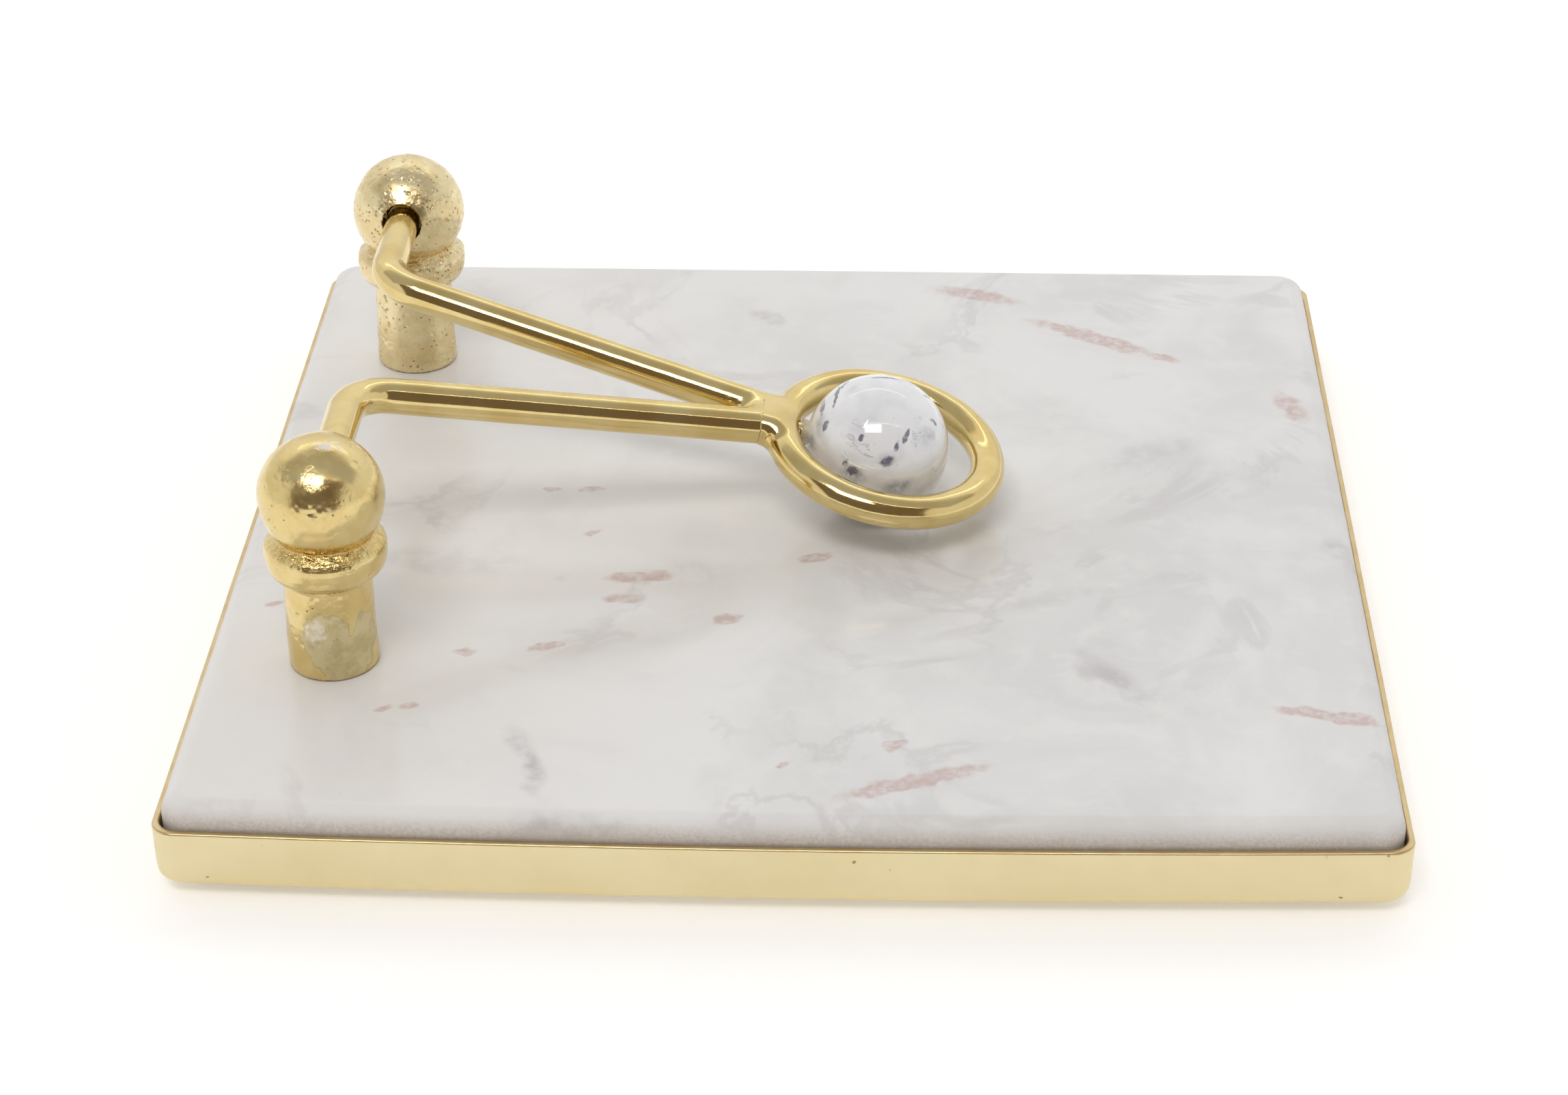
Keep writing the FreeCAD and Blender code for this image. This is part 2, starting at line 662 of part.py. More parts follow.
def make_parts():
    posts = (("front", "post_front", 0), ("rear", "post_rear", 180))
    parts = [make_tray(), make_bedding_pad(), make_slab()]
    for side, side_name in ((-1, "left"), (1, "right")):
        for end, end_name in ((-1, "front"), (1, "rear")):
            parts.append(make_foot("foot_%s_%s" % (end_name, side_name), side, end))
    parts += [make_post(name + "_post", y_text, turn) for name, y_text, turn in posts]
    parts.append(make_group("post_washers", [make_washer(name + "_washer", y_text)
                                             for name, y_text, turn in posts]))
    parts.append(make_group("post_screws", [make_screw(name + "_screw", y_text)
                                            for name, y_text, turn in posts]))
    rods = [make_rod("front_arm_rod", -1), make_rod("rear_arm_rod", 1)]
    return parts + rods + [make_ring(), make_braze(rods), make_pin(), make_stone_ball(), make_glue()]


def check(parts):
    """Stop before anything is written if a feature failed or a cut cut nothing."""
    for item in doc.Objects:
        for state in ("Invalid", "Error"):
            if state in item.State:
                raise RuntimeError("%s is %s" % (item.Name, state))
        if item.TypeId == "PartDesign::Pocket":
            if item.Shape.Volume > item.BaseFeature.Shape.Volume - NEAR:
                raise RuntimeError("%s cuts nothing" % item.Name)
    for part in parts:
        if part.Shape.isNull() or not part.Shape.isValid() or not part.Shape.Solids:
            raise RuntimeError("%s has no valid solid" % part.Label)


def main():
    parts = make_parts()
    doc.recompute()
    check(parts)
    os.makedirs("parts", exist_ok=True)
    for part in parts:
        part.Shape.exportStep("parts/%s.step" % part.Label)
        print("%-18s %d solid %10.2f mm3" % (part.Label, len(part.Shape.Solids), part.Shape.Volume))


main()
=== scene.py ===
"""Looks of a square marble napkin holder with a swinging ring arm.

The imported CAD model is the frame. The tray, slab, posts, arm, ring, stone ball and glue get detailed
meshes in its place. The other CAD nodes stay and get materials. Shapes are worked out in
millimetres and turned to metres when a mesh is made.
"""
import json
import math
from itertools import product

import bpy
import numpy as np
from mathutils import Matrix, Vector


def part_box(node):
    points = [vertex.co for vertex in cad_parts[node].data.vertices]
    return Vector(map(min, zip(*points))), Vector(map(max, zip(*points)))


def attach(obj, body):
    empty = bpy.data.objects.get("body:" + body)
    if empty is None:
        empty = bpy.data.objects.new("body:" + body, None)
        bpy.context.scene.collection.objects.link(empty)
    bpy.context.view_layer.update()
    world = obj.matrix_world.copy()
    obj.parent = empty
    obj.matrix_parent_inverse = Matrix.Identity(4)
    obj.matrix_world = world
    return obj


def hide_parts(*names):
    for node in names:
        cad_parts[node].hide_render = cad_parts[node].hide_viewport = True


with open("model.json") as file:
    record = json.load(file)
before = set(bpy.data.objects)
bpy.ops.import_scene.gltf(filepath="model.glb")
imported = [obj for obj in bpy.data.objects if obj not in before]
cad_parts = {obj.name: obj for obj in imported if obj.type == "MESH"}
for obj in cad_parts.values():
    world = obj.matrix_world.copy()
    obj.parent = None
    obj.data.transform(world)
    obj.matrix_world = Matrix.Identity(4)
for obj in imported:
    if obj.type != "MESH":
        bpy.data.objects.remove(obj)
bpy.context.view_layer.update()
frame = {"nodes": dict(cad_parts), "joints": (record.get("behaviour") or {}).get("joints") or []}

MM = 0.001


def box_mm(node):
    """Lowest and highest corner of a CAD node, in millimetres."""
    low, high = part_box(node)
    return np.array(low) / MM, np.array(high) / MM


# ---------------------------------------------------------------- sizes, in millimetres

TRAY_LOW, TRAY_HIGH = box_mm("tray")
SLAB_LOW, SLAB_HIGH = box_mm("marble_slab")
BALL_LOW, BALL_HIGH = box_mm("stone_ball")
SLAB_TOP = SLAB_HIGH[2]
PIVOT = np.array(frame["joints"][0]["pos_m"]) / MM

# Tray and slab. The front side of both bows out, a clearance keeps each mesh inside its CAD node,
# and the flat middles have rows of points at the flat insets.
FRONT_BOW = 1.8
TRAY_WALL = 1.1
TRAY_FLOOR = 1.4
TRAY_ROLL = 3.0
TRAY_LEAN = math.tan(math.radians(1))
TRAY_CORNER = 3.6
TRAY_CLEARANCE = 0.12
RIM_ROUND = 0.35
SLAB_EDGE = 3.2
SLAB_CHAMFER = 0.6
SLAB_CORNER = 4.0
SLAB_CLEARANCE = 0.05
FLAT_INSETS = (80, 40)

# Posts. Heights are above the slab, and depths are from the ball's inner side.
POST_BALL = 10.07
POST_BALL_HEIGHT = 29.95
BORE_RADIUS = 3.05
BORE_DEPTH = 13.0
MOUTH_RADIUS = 3.5
MOUTH_LIFT = 0.32
MOUTH_DEPTH = 4.2
MOUTH_EDGE = 0.2
SHANK_TOP = 28
NECK_FILLET = 0.5
POST_CLEARANCE = 0.12

# Height and radius of the shank, the collar and the groove, from the slab up into the ball.
SHANK = [(0, 7.05), (0.5, 7.28), (1.5, 7.30), (15.6, 7.02), (16.2, 7.2), (16.8, 8.1), (17.4, 8.9),
         (18.2, 9.40), (19.3, 9.68), (20.5, 9.78), (21.4, 9.76), (21.9, 9.60), (22.2, 9.25),
         (22.6, 8.65), (23.1, 7.95), (23.5, 7.6), (24.2, 7.5), (30, 7.4)]

# Heights where a band on the post starts, is full, starts to fade and ends, and the bevel's middle.
GROOVE_BAND = (22.9, 23.4, 23.6, 24.6)
BEVEL_BAND = (21.8, 22.4, 23.2, 24.0)
BEVEL_HEIGHT = 22.8

# Arm. Reaches are along the arm from the pivot.
ROD_RADIUS = 2.98
ROOT_HALF = 20.35
MEET_REACH = 79.4
NECK_SHIFT = -1.7
SEAM_REACH = 67.3
SEAM_OVERLAP = 0.25
LUG_FACE = SEAM_REACH + 0.03
BRAZE_START = SEAM_REACH - 12.0
BRAZE_STOP = SEAM_REACH + SEAM_OVERLAP
BRAZE_HALF_WIDTH = 3.6
BEND_RADIUS = 8.5

RING_TUBE = 2.95
RING_RADIUS = 17.7
RING_CENTRE = np.array([89.2, -2.2, -0.6])
RING_ROLL = math.radians(6.5)
STONE_REACH = 87.7
LUG_END = SEAM_REACH + 4.6
LUG_HALF_WIDTH = 3.45
LUG_ROUND = 2.45
STONE_RADIUS = (BALL_HIGH[0] - BALL_LOW[0]) / 2
STONE_CENTRE = (BALL_LOW + BALL_HIGH) / 2
PIN_RADIUS = 1.5
PIN_HOLE_RADIUS = PIN_RADIUS + 0.03
PIN_HOLE_START = SEAM_REACH + 4.2

# The arm's own frame: x along the arm from the pivot, y along the pivot, z out of its upper side.
to_stone = STONE_CENTRE - PIVOT
ARM_DROP = math.atan2(-to_stone[2], to_stone[0]) - math.atan2(-RING_CENTRE[2], STONE_REACH)
ARM = Matrix.Translation(Vector(PIVOT)) @ Matrix.Rotation(ARM_DROP, 4, "Y")


# ---------------------------------------------------------------- noise

def random_at(cells, seed):
    """A fixed random number from 0 to 1 for each whole-numbered cell."""
    key = cells[..., 0] * 374761393 + cells[..., 1] * 668265263 + cells[..., 2] * 2147483647
    key = (key + seed * 1274126177).astype(np.int64) & 0xFFFFFFFF
    key = ((key ^ (key >> 13)) * 1274126177) & 0xFFFFFFFF
    key = ((key ^ (key >> 16)) * 2246822519) & 0xFFFFFFFF
    return (key ^ (key >> 15)).astype(float) / 0xFFFFFFFF


def lumps(points, size, seed):
    """Smooth noise from -1 to 1 with lumps of about the size."""
    at = points / size
    cell = np.floor(at).astype(np.int64)
    part = at - cell
    part = part * part * part * (part * (part * 6 - 15) + 10)
    total = np.zeros(len(points))
    for corner in product((0, 1), repeat=3):
        weight = np.prod(np.where(corner, part, 1 - part), axis=-1)
        total += weight * random_at(cell + np.array(corner), seed)
    return total * 2 - 1


def pits(points, spacing, radius, share, seed):
    """Depth from 0 to 1 of small round pits, at most one to each cell of the spacing."""
    cell = np.floor(points / spacing).astype(np.int64)
    deepest = np.zeros(len(points))
    for step in product((-1, 0, 1), repeat=3):
        near = cell + np.array(step)
        middle = np.stack([random_at(near, seed + axis) for axis in range(3)], axis=-1)
        middle = (near + 0.2 + 0.6 * middle) * spacing
        size = radius * (0.4 + 0.6 * random_at(near, seed + 3))
        gap = np.linalg.norm(points - middle, axis=-1) / size
        there = random_at(near, seed + 4) < share
        deepest = np.maximum(deepest, np.where(there, np.clip(1 - gap * gap, 0, 1), 0))
    return deepest


# ---------------------------------------------------------------- fields: below zero inside

def blended(first, second, width):
    """The union of two fields with a fillet of about the width."""
    share = np.clip(0.5 + 0.5 * (second - first) / width, 0, 1)
    return second * (1 - share) + first * share - width * share * (1 - share)


def cut(body, tool, width):
    """The body without the tool, with its edge rounded by about the width."""
    return -blended(-body, tool, width)


def to_line(points, start, end):
    """Distance from a line between two places."""
    along = end - start
    share = np.clip((points - start) @ along / (along @ along), 0, 1)
    return np.linalg.norm(points - start - share[:, None] * along, axis=-1)


def slopes(field, points, step=0.02):
    """The field's gradient."""
    parts = []
    for axis in np.eye(3) * step:
        parts.append(field(points + axis) - field(points - axis))
    return np.stack(parts, axis=-1) / (2 * step)


def surface(field, low, high, step, plain=None, rounds=3):
    """Points and quads on the zero level of a field, with one point in each cell it crosses.
    plain is a quicker field that is nearly the same, to find the cells with."""
    sides = [np.arange(a - 2 * step, b + 2 * step, step) for a, b in zip(low, high)]
    grid = np.stack(np.meshgrid(*sides, indexing="ij"), axis=-1)
    shape = grid.shape[:3]
    inside = (plain or field)(grid.reshape(-1, 3)).reshape(shape) < 0
    cells = [n - 1 for n in shape]
    count = np.zeros(cells, int)
    for i, j, k in product((0, 1), repeat=3):
        count += inside[i:i + cells[0], j:j + cells[1], k:k + cells[2]]
    crossed = (count > 0) & (count < 8)
    number = np.full(cells, -1)
    number[crossed] = np.arange(crossed.sum())
    points = grid[:-1, :-1, :-1][crossed] + step / 2
    quads = []
    for axis in range(3):
        first = [slice(1, -1)] * 3
        second = [slice(1, -1)] * 3
        first[axis] = slice(0, -1)
        second[axis] = slice(1, None)
        change = inside[tuple(first)].astype(int) - inside[tuple(second)]
        where = np.argwhere(change != 0)
        sign = change[change != 0]
        where += np.array([0 if a == axis else 1 for a in range(3)])
        one, two = [a for a in range(3) if a != axis]
        if axis == 1:
            one, two = two, one
        ring = []
        for a, b in ((0, 0), (1, 0), (1, 1), (0, 1)):
            at = where.copy()
            at[:, one] -= a
            at[:, two] -= b
            ring.append(number[at[:, 0], at[:, 1], at[:, 2]])
        ring = np.stack(ring, axis=-1)
        ring[sign < 0] = ring[sign < 0][:, ::-1]
        quads.append(ring)
    quads = np.concatenate(quads)
    for turn in range(rounds):
        slope = slopes(field, points)
        length = np.maximum((slope ** 2).sum(axis=-1), 0.05)
        points = points - np.clip(field(points) / length, -step, step)[:, None] * slope
        if turn < rounds - 1:
            points = relaxed(points, quads)
    return points, quads


def relaxed(points, quads):
    """Each point moved half way to the middle of its neighbours."""
    here = quads.ravel()
    total = np.zeros_like(points)
    for there in (np.roll(quads, 1, axis=1).ravel(), np.roll(quads, -1, axis=1).ravel()):
        for axis in range(3):
            total[:, axis] += np.bincount(here, points[there, axis], len(points))
    count = 2 * np.bincount(here, minlength=len(points))
    return points * 0.5 + total / np.maximum(count, 1)[:, None] * 0.5


# ---------------------------------------------------------------- meshes

def make_piece(name, points, faces, body, replaced, slot, material, matrix=None, normals=None):
    """A smooth mesh from points in millimetres, riding on a CAD body."""
    mesh = bpy.data.meshes.new(name)
    corners = [tuple(point) for point in np.asarray(points)]
    mesh.from_pydata(corners, [], [tuple(int(i) for i in face) for face in faces])
    mesh.validate()
    mesh.polygons.foreach_set("use_smooth", [True] * len(mesh.polygons))
    if normals is not None:
        mesh.normals_split_custom_set_from_vertices([tuple(n) for n in normals])
    mesh.transform(Matrix.Scale(MM, 4) @ (matrix or Matrix.Identity(4)))
    mesh.update()
    piece = bpy.data.objects.new(name, mesh)
    bpy.context.scene.collection.objects.link(piece)
    piece.data.materials.append(material)
    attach(piece, body)
    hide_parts(*replaced)
    return piece


def make_field_piece(name, field, low, high, step, body, replaced, slot, material,
                     matrix=None, plain=None):
    """A piece meshed from a field, with the field's own slopes as its normals."""
    points, quads = surface(field, low, high, step, plain)
    slope = slopes(field, points)
    normals = slope / np.maximum(np.linalg.norm(slope, axis=-1), 1e-9)[:, None]
    if matrix is not None:
        turn = np.array(matrix.to_3x3())
        normals = normals @ turn.T
        points = points @ turn.T + np.array(matrix.translation)
    return make_piece(name, points, quads, body, replaced, slot, material, normals=normals)


def strip_faces(rows, columns):
    """Quads between rows of points, each row a closed loop, with a cap at both ends."""
    faces = []
    for row in range(rows - 1):
        for column in range(columns):
            after = (column + 1) % columns
            here, there = row * columns, (row + 1) * columns
            faces.append((here + column, here + after, there + after, there + column))
    faces.append(tuple(range(columns))[::-1])
    faces.append(tuple((rows - 1) * columns + column for column in range(columns)))
    return faces


# ---------------------------------------------------------------- materials

class Nodes:
    """Short names for the nodes of a shader tree."""

    def __init__(self, tree):
        self.tree = tree

    def feed(self, socket, item):
        if isinstance(item, bpy.types.NodeSocket):
            self.tree.links.new(item, socket)
        elif item is not None:
            socket.default_value = item

    def scaled(self, vector, factor):
        node = self.tree.nodes.new("ShaderNodeVectorMath")
        node.operation = "SCALE"
        self.feed(node.inputs[0], vector)
        node.inputs["Scale"].default_value = factor
        return node.outputs[0]

    def vector(self, operation, *items):
        node = self.tree.nodes.new("ShaderNodeVectorMath")
        node.operation = operation
        for socket, item in zip(node.inputs, items):
            self.feed(socket, item)
        return node.outputs["Value" if operation == "LENGTH" else "Vector"]

    def maths(self, operation, *items):
        node = self.tree.nodes.new("ShaderNodeMath")
        node.operation = operation
        for socket, item in zip(node.inputs, items):
            self.feed(socket, item)
        return node.outputs[0]

    def ramp(self, value, low, high, first=0.0, last=1.0):
        node = self.tree.nodes.new("ShaderNodeMapRange")
        node.interpolation_type = "SMOOTHSTEP"
        for socket, item in zip(node.inputs, (value, low, high, first, last)):
            self.feed(socket, item)
        return node.outputs["Result"]

    def between(self, value, start, full, fade, end):
        """1 from full to fade, and 0 before the start and after the end."""
        return self.maths("MULTIPLY", self.ramp(value, start, full), self.ramp(value, end, fade))

    def mix(self, share, first, second):
        node = self.tree.nodes.new("ShaderNodeMix")
        node.data_type = "RGBA"
        self.feed(node.inputs["Factor"], share)
        self.feed(node.inputs["A"], (*first, 1) if isinstance(first, tuple) else first)
        self.feed(node.inputs["B"], (*second, 1) if isinstance(second, tuple) else second)
        return node.outputs["Result"]

    def split(self, vector):
        node = self.tree.nodes.new("ShaderNodeSeparateXYZ")
        self.feed(node.inputs[0], vector)
        return node.outputs


class Surface(Nodes):
    """A Principled material whose nodes work from the place on the piece, in millimetres."""

    def __init__(self, name):
        self.material = bpy.data.materials.new(name)
        self.material.use_nodes = True
        super().__init__(self.material.node_tree)
        self.shader = self.tree.nodes["Principled BSDF"]
        coordinates = self.tree.nodes.new("ShaderNodeTexCoord")
        self.place = self.scaled(coordinates.outputs["Object"], 1 / MM)

    def noise(self, size, detail=4.0, roughness=0.55, distortion=0.0):
        """Noise with features of about the size, in millimetres, from 0 to 1."""
        node = self.tree.nodes.new("ShaderNodeTexNoise")
        self.feed(node.inputs["Vector"], self.place)
        node.inputs["Scale"].default_value = 1 / size
        node.inputs["Detail"].default_value = detail
        node.inputs["Roughness"].default_value = roughness
        node.inputs["Distortion"].default_value = distortion
        return node.outputs["Fac"]

    def cells(self, size, place=None):
        """Distance from the nearest of scattered points, in cells of about the size."""
        node = self.tree.nodes.new("ShaderNodeTexVoronoi")
        self.feed(node.inputs["Vector"], place or self.place)
        node.inputs["Scale"].default_value = 1 / size
        return node.outputs["Distance"]

    def warped(self, size, amount):
        """The place, pushed about by noise of the size, by up to the amount in millimetres."""
        node = self.tree.nodes.new("ShaderNodeTexNoise")
        self.feed(node.inputs["Vector"], self.place)
        node.inputs["Scale"].default_value = 1 / size
        node.inputs["Detail"].default_value = 3
        shift = self.vector("SUBTRACT", node.outputs["Color"], (0.5, 0.5, 0.5))
        return self.vector("ADD", self.place, self.scaled(shift, 2 * amount))

    def mark(self, place, centre, turn, half_length, half_width, half_height):
        """A soft oval: 1 in its middle and 0 from its edge on."""
        node = self.tree.nodes.new("ShaderNodeMapping")
        node.vector_type = "TEXTURE"
        self.feed(node.inputs["Vector"], place)
        node.inputs["Location"].default_value = centre
        node.inputs["Rotation"].default_value = (0, 0, math.radians(turn))
        node.inputs["Scale"].default_value = (half_length, half_width, half_height)
        return self.ramp(self.vector("LENGTH", node.outputs[0]), 1, 0.15)

    def marks(self, place, items, half_height=6):
        """The strongest of several marks: centre, turn, half length, half width, strength."""
        total = None
        for centre, turn, half_length, half_width, strength in items:
            oval = self.mark(place, centre, turn, half_length, half_width, half_height)
            one = self.maths("MULTIPLY", oval, strength)
            total = one if total is None else self.maths("MAXIMUM", total, one)
        return total

    def bump(self, height, depth, below=None):
        """A bump whose height from 0 to 1 stands for the depth, in millimetres."""
        node = self.tree.nodes.new("ShaderNodeBump")
        node.inputs["Strength"].default_value = 1
        node.inputs["Distance"].default_value = depth * MM
        self.feed(node.inputs["Height"], height)
        self.feed(node.inputs["Normal"], below)
        return node.outputs[0]

    def finish(self, **sockets):
        """The material, with values or nodes fed to its shader's sockets."""
        for name, item in sockets.items():
            socket = self.shader.inputs[name.replace("_", " ")]
            self.feed(socket, (*item, 1) if isinstance(item, tuple) and len(item) == 3 else item)
        return self.material


GOLD = (0.78, 0.63, 0.30)
PALE_GOLD = (0.83, 0.71, 0.43)
TRAY_GOLD = (0.79, 0.69, 0.43)
TARNISH = (0.30, 0.15, 0.045)


def gold_material(name, colour, roughness, grain, tarnish):
    """Plated gold. grain is the depth of the casting's skin in millimetres, 0 on polished rod."""
    n = Surface(name)
    cloud = n.noise(9, 3)
    patch = n.noise(2.4, 5, 0.6)
    deep = tuple(c * k for c, k in zip(colour, (0.90, 0.84, 0.72)))
    base = n.mix(n.ramp(cloud, 0.35, 0.68), colour, deep)
    speck = n.ramp(n.noise(0.55, 3, 0.5), 0.70, 0.76)
    dark = n.maths("MULTIPLY", speck, n.ramp(n.noise(5, 2), 0.45, 0.62))
    base = n.mix(n.maths("MULTIPLY", dark, tarnish), base, TARNISH)
    rough = n.maths("ADD", roughness, n.ramp(patch, 0.4, 0.75, 0.0, roughness * 0.9))
    fine = n.bump(n.noise(0.35, 4, 0.6), 0.004 + grain * 0.25)
    normal = n.bump(n.noise(1.6, 3), 0.004 + grain, fine)
    return n.finish(Base_Color=base, Metallic=1.0, Roughness=rough, Normal=normal)


def post_material(name, colour, pitting, worn):
    """Plated sand casting, pitted, with a worn patch low on the shank where worn is set."""
    n = Surface(name)
    deep = tuple(c * k for c, k in zip(colour, (0.92, 0.86, 0.76)))
    base = n.mix(n.ramp(n.noise(5, 4), 0.35, 0.68), colour, deep)
    height = n.split(n.place)[2]
    groove = n.between(height, *(SLAB_TOP + level for level in GROOVE_BAND))
    bevel = n.between(height, *(SLAB_TOP + level for level in BEVEL_BAND))
    # Painted shade: the groove under the ball is coloured orange-brown.
    base = n.mix(n.maths("MULTIPLY", groove, 0.45), base, (0.62, 0.36, 0.09))
    hole = n.ramp(n.cells(1.0, n.warped(0.8, 0.25)), 0.26, 0.09)
    where = n.ramp(n.noise(4.5, 3), 0.72 - pitting * 0.32, 0.75 - pitting * 0.25)
    hole = n.maths("MULTIPLY", hole, where)
    base = n.mix(n.maths("MULTIPLY", hole, 0.82), base, TARNISH)
    skin = n.ramp(n.noise(3.2, 4, 0.6), 0.58 - 0.14 * pitting, 0.70)
    rough = n.ramp(n.noise(1.8, 5, 0.6), 0.3, 0.8, 0.13 + 0.10 * pitting, 0.28 + 0.12 * pitting)
    crinkle = n.bump(n.maths("MULTIPLY", n.noise(0.9, 3, 0.6), bevel), 0.32)
    grain = n.bump(n.maths("MULTIPLY", n.noise(0.5, 4, 0.65), skin), 0.07 + 0.04 * pitting, crinkle)
    soft = n.bump(n.noise(1.8, 3), 0.03 + 0.03 * pitting, grain)
    normal = n.bump(n.maths("SUBTRACT", 1, hole), 0.12, soft)
    if worn:
        base, rough = add_wear(n, base, rough, worn)
    return n.finish(Base_Color=base, Metallic=1.0, Roughness=rough, Normal=normal)


def add_wear(n, base, rough, worn):
    """The dulled patch low on the front post, and the white scuff on top of its ball."""
    low = n.warped(2.4, 1.5)
    patch = n.marks(low, [((worn[0] - 0.4, worn[1], SLAB_TOP + 7.4), 0, 4.9, 4.8, 1.0),
                          ((worn[0] + 3.0, worn[1], SLAB_TOP + 3.4), 0, 5.4, 4.8, 1.0),
                          ((worn[0] + 5.8, worn[1] + 2.6, SLAB_TOP + 6.4), 0, 3.0, 4.6, 1.0)])
    edge = n.maths("MULTIPLY", n.ramp(patch, 0.06, 0.10), n.ramp(patch, 0.20, 0.12))
    patch = n.ramp(patch, 0.08, 0.14)
    mottled = n.ramp(n.noise(2.6, 5, 0.6), 0.40, 0.62)
    mottled = n.mix(mottled, (0.72, 0.63, 0.385), (0.59, 0.50, 0.28))
    pale_place = (worn[0] - 2.0, worn[1], SLAB_TOP + 9.0)
    pale = n.marks(n.warped(1.2, 0.9), [(pale_place, 0, 2.6, 4.0, 1.0)], 3.2)
    streaks = n.ramp(n.noise(1.4, 5, 0.65), 0.36, 0.60, 0.1, 0.9)
    pale = n.maths("MULTIPLY", n.ramp(pale, 0.05, 0.45), streaks)
    mottled = n.mix(pale, mottled, (0.93, 0.88, 0.76))
    fleck = n.ramp(n.noise(0.9, 5, 0.65), 0.58, 0.68)
    fleck = n.maths("MULTIPLY", fleck, n.ramp(n.noise(4, 2), 0.42, 0.6))
    mottled = n.mix(n.maths("MULTIPLY", fleck, 0.8), mottled, (0.42, 0.34, 0.20))
    mottled = n.mix(n.maths("MULTIPLY", edge, 0.5), mottled, (0.42, 0.33, 0.14))
    base = n.mix(n.maths("MULTIPLY", patch, 0.86), base, mottled)
    rough = n.maths("MAXIMUM", rough, n.maths("MULTIPLY", patch, 0.36))
    top_place = (worn[0] + 1.4, worn[1] + 5.6, SLAB_TOP + 39.0)
    top = n.marks(n.warped(1.0, 0.8), [(top_place, 18, 3.2, 1.5, 1.0)])
    top = n.maths("MULTIPLY", n.ramp(top, 0.10, 0.35), n.ramp(n.noise(1.3, 5, 0.7), 0.40, 0.56))
    base = n.mix(n.maths("MULTIPLY", top, 0.8), base, (0.88, 0.87, 0.84))
    return base, n.maths("MAXIMUM", rough, n.maths("MULTIPLY", top, 0.6))


def tray_material():
    """Satin champagne plating with a brown line along the rim and small nicks."""
    n = Surface("tray_gilt")
    base = n.mix(n.ramp(n.noise(30, 3), 0.35, 0.7), TRAY_GOLD, (0.755, 0.65, 0.385))
    height = n.split(n.place)[2]
    rim = n.maths("MULTIPLY", n.ramp(height, TRAY_HIGH[2] - 0.5, TRAY_HIGH[2] - 0.1),
                  n.ramp(n.noise(5, 5, 0.6), 0.35, 0.65, 0.45, 0.75))
    base = n.mix(rim, base, (0.60, 0.42, 0.20))
    nick = n.maths("MULTIPLY", n.ramp(n.cells(3.4, n.warped(1.0, 0.5)), 0.11, 0.05),
                   n.ramp(n.noise(14, 2), 0.56, 0.62))
    base = n.mix(n.maths("MULTIPLY", nick, 0.8), base, TARNISH)
    rough = n.ramp(n.noise(3, 4, 0.6), 0.3, 0.75, 0.30, 0.42)
    normal = n.bump(n.noise(0.8, 3), 0.004, n.bump(n.noise(12, 2), 0.02))
    return n.finish(Base_Color=base, Metallic=1.0, Roughness=rough, Normal=normal)


# Pink and mauve marks on the slab: centre, turn, half length, half width, strength.
PINK_MARKS = [
    ((20, -83, 16), 22, 16, 2.6, 1.0),
    ((17, -73, 16), 30, 3.2, 1.8, 0.8),
    ((-52, -48, 16), 10, 2.8, 1.6, 0.9),
    ((-39, -46, 16), 25, 4.0, 1.8, 0.9),
    ((-11, -37, 16), 35, 3.4, 2.2, 0.9),
    ((3, -17, 16), 20, 3.6, 1.9, 1.0),
    ((-26, -24, 16), 5, 8.0, 2.4, 0.7),
    ((-28, -31, 16), 0, 4.6, 2.2, 0.7),
    ((-36, 5, 16), 12, 2.8, 1.4, 0.9),
    ((-43, 5, 16), 0, 2.2, 1.3, 0.9),
    ((-35, -10, 16), 40, 2.4, 1.3, 0.7),
    ((-85, -34, 16), 30, 2.4, 1.2, 0.7),
    ((-63, -65, 16), 15, 2.2, 1.2, 0.8),
    ((-59, -64, 16), 15, 2.2, 1.2, 0.8),
    ((0, -79, 16), 20, 1.8, 1.2, 0.7),
    ((84, -63, 16), -13, 11, 2.2, 1.0),
    ((87, 38, 16), -72, 9, 3.4, 0.55),
    ((65, 57, 16), -33, 4.2, 1.9, 1.0),
    ((52, 65, 16), -32, 18, 3.2, 0.85),
    ((31, 82, 16), -19, 12, 3.4, 0.6),
]

# Grey and mauve clouds, in the same form.
GREY_MARKS = [
    ((51, -53, 16), -55, 12, 3.4, 0.8),
    ((-39, -79, 16), -71, 13, 3.2, 0.9),
    # This mark darkens the slab's front edge a little left of the middle.
    ((-30, -95, 13), 3, 17, 5.0, 1.0),
    ((-8, 72, 16), -57, 5.0, 3.4, 0.7),
    ((92, -14, 16), -64, 10, 3.6, 0.6),
    ((40, -30, 16), 15, 22, 4.0, 0.35),
    ((-60, -20, 16), -10, 26, 6.0, 0.35),
    ((60, 20, 16), 35, 22, 5.0, 0.35),
]


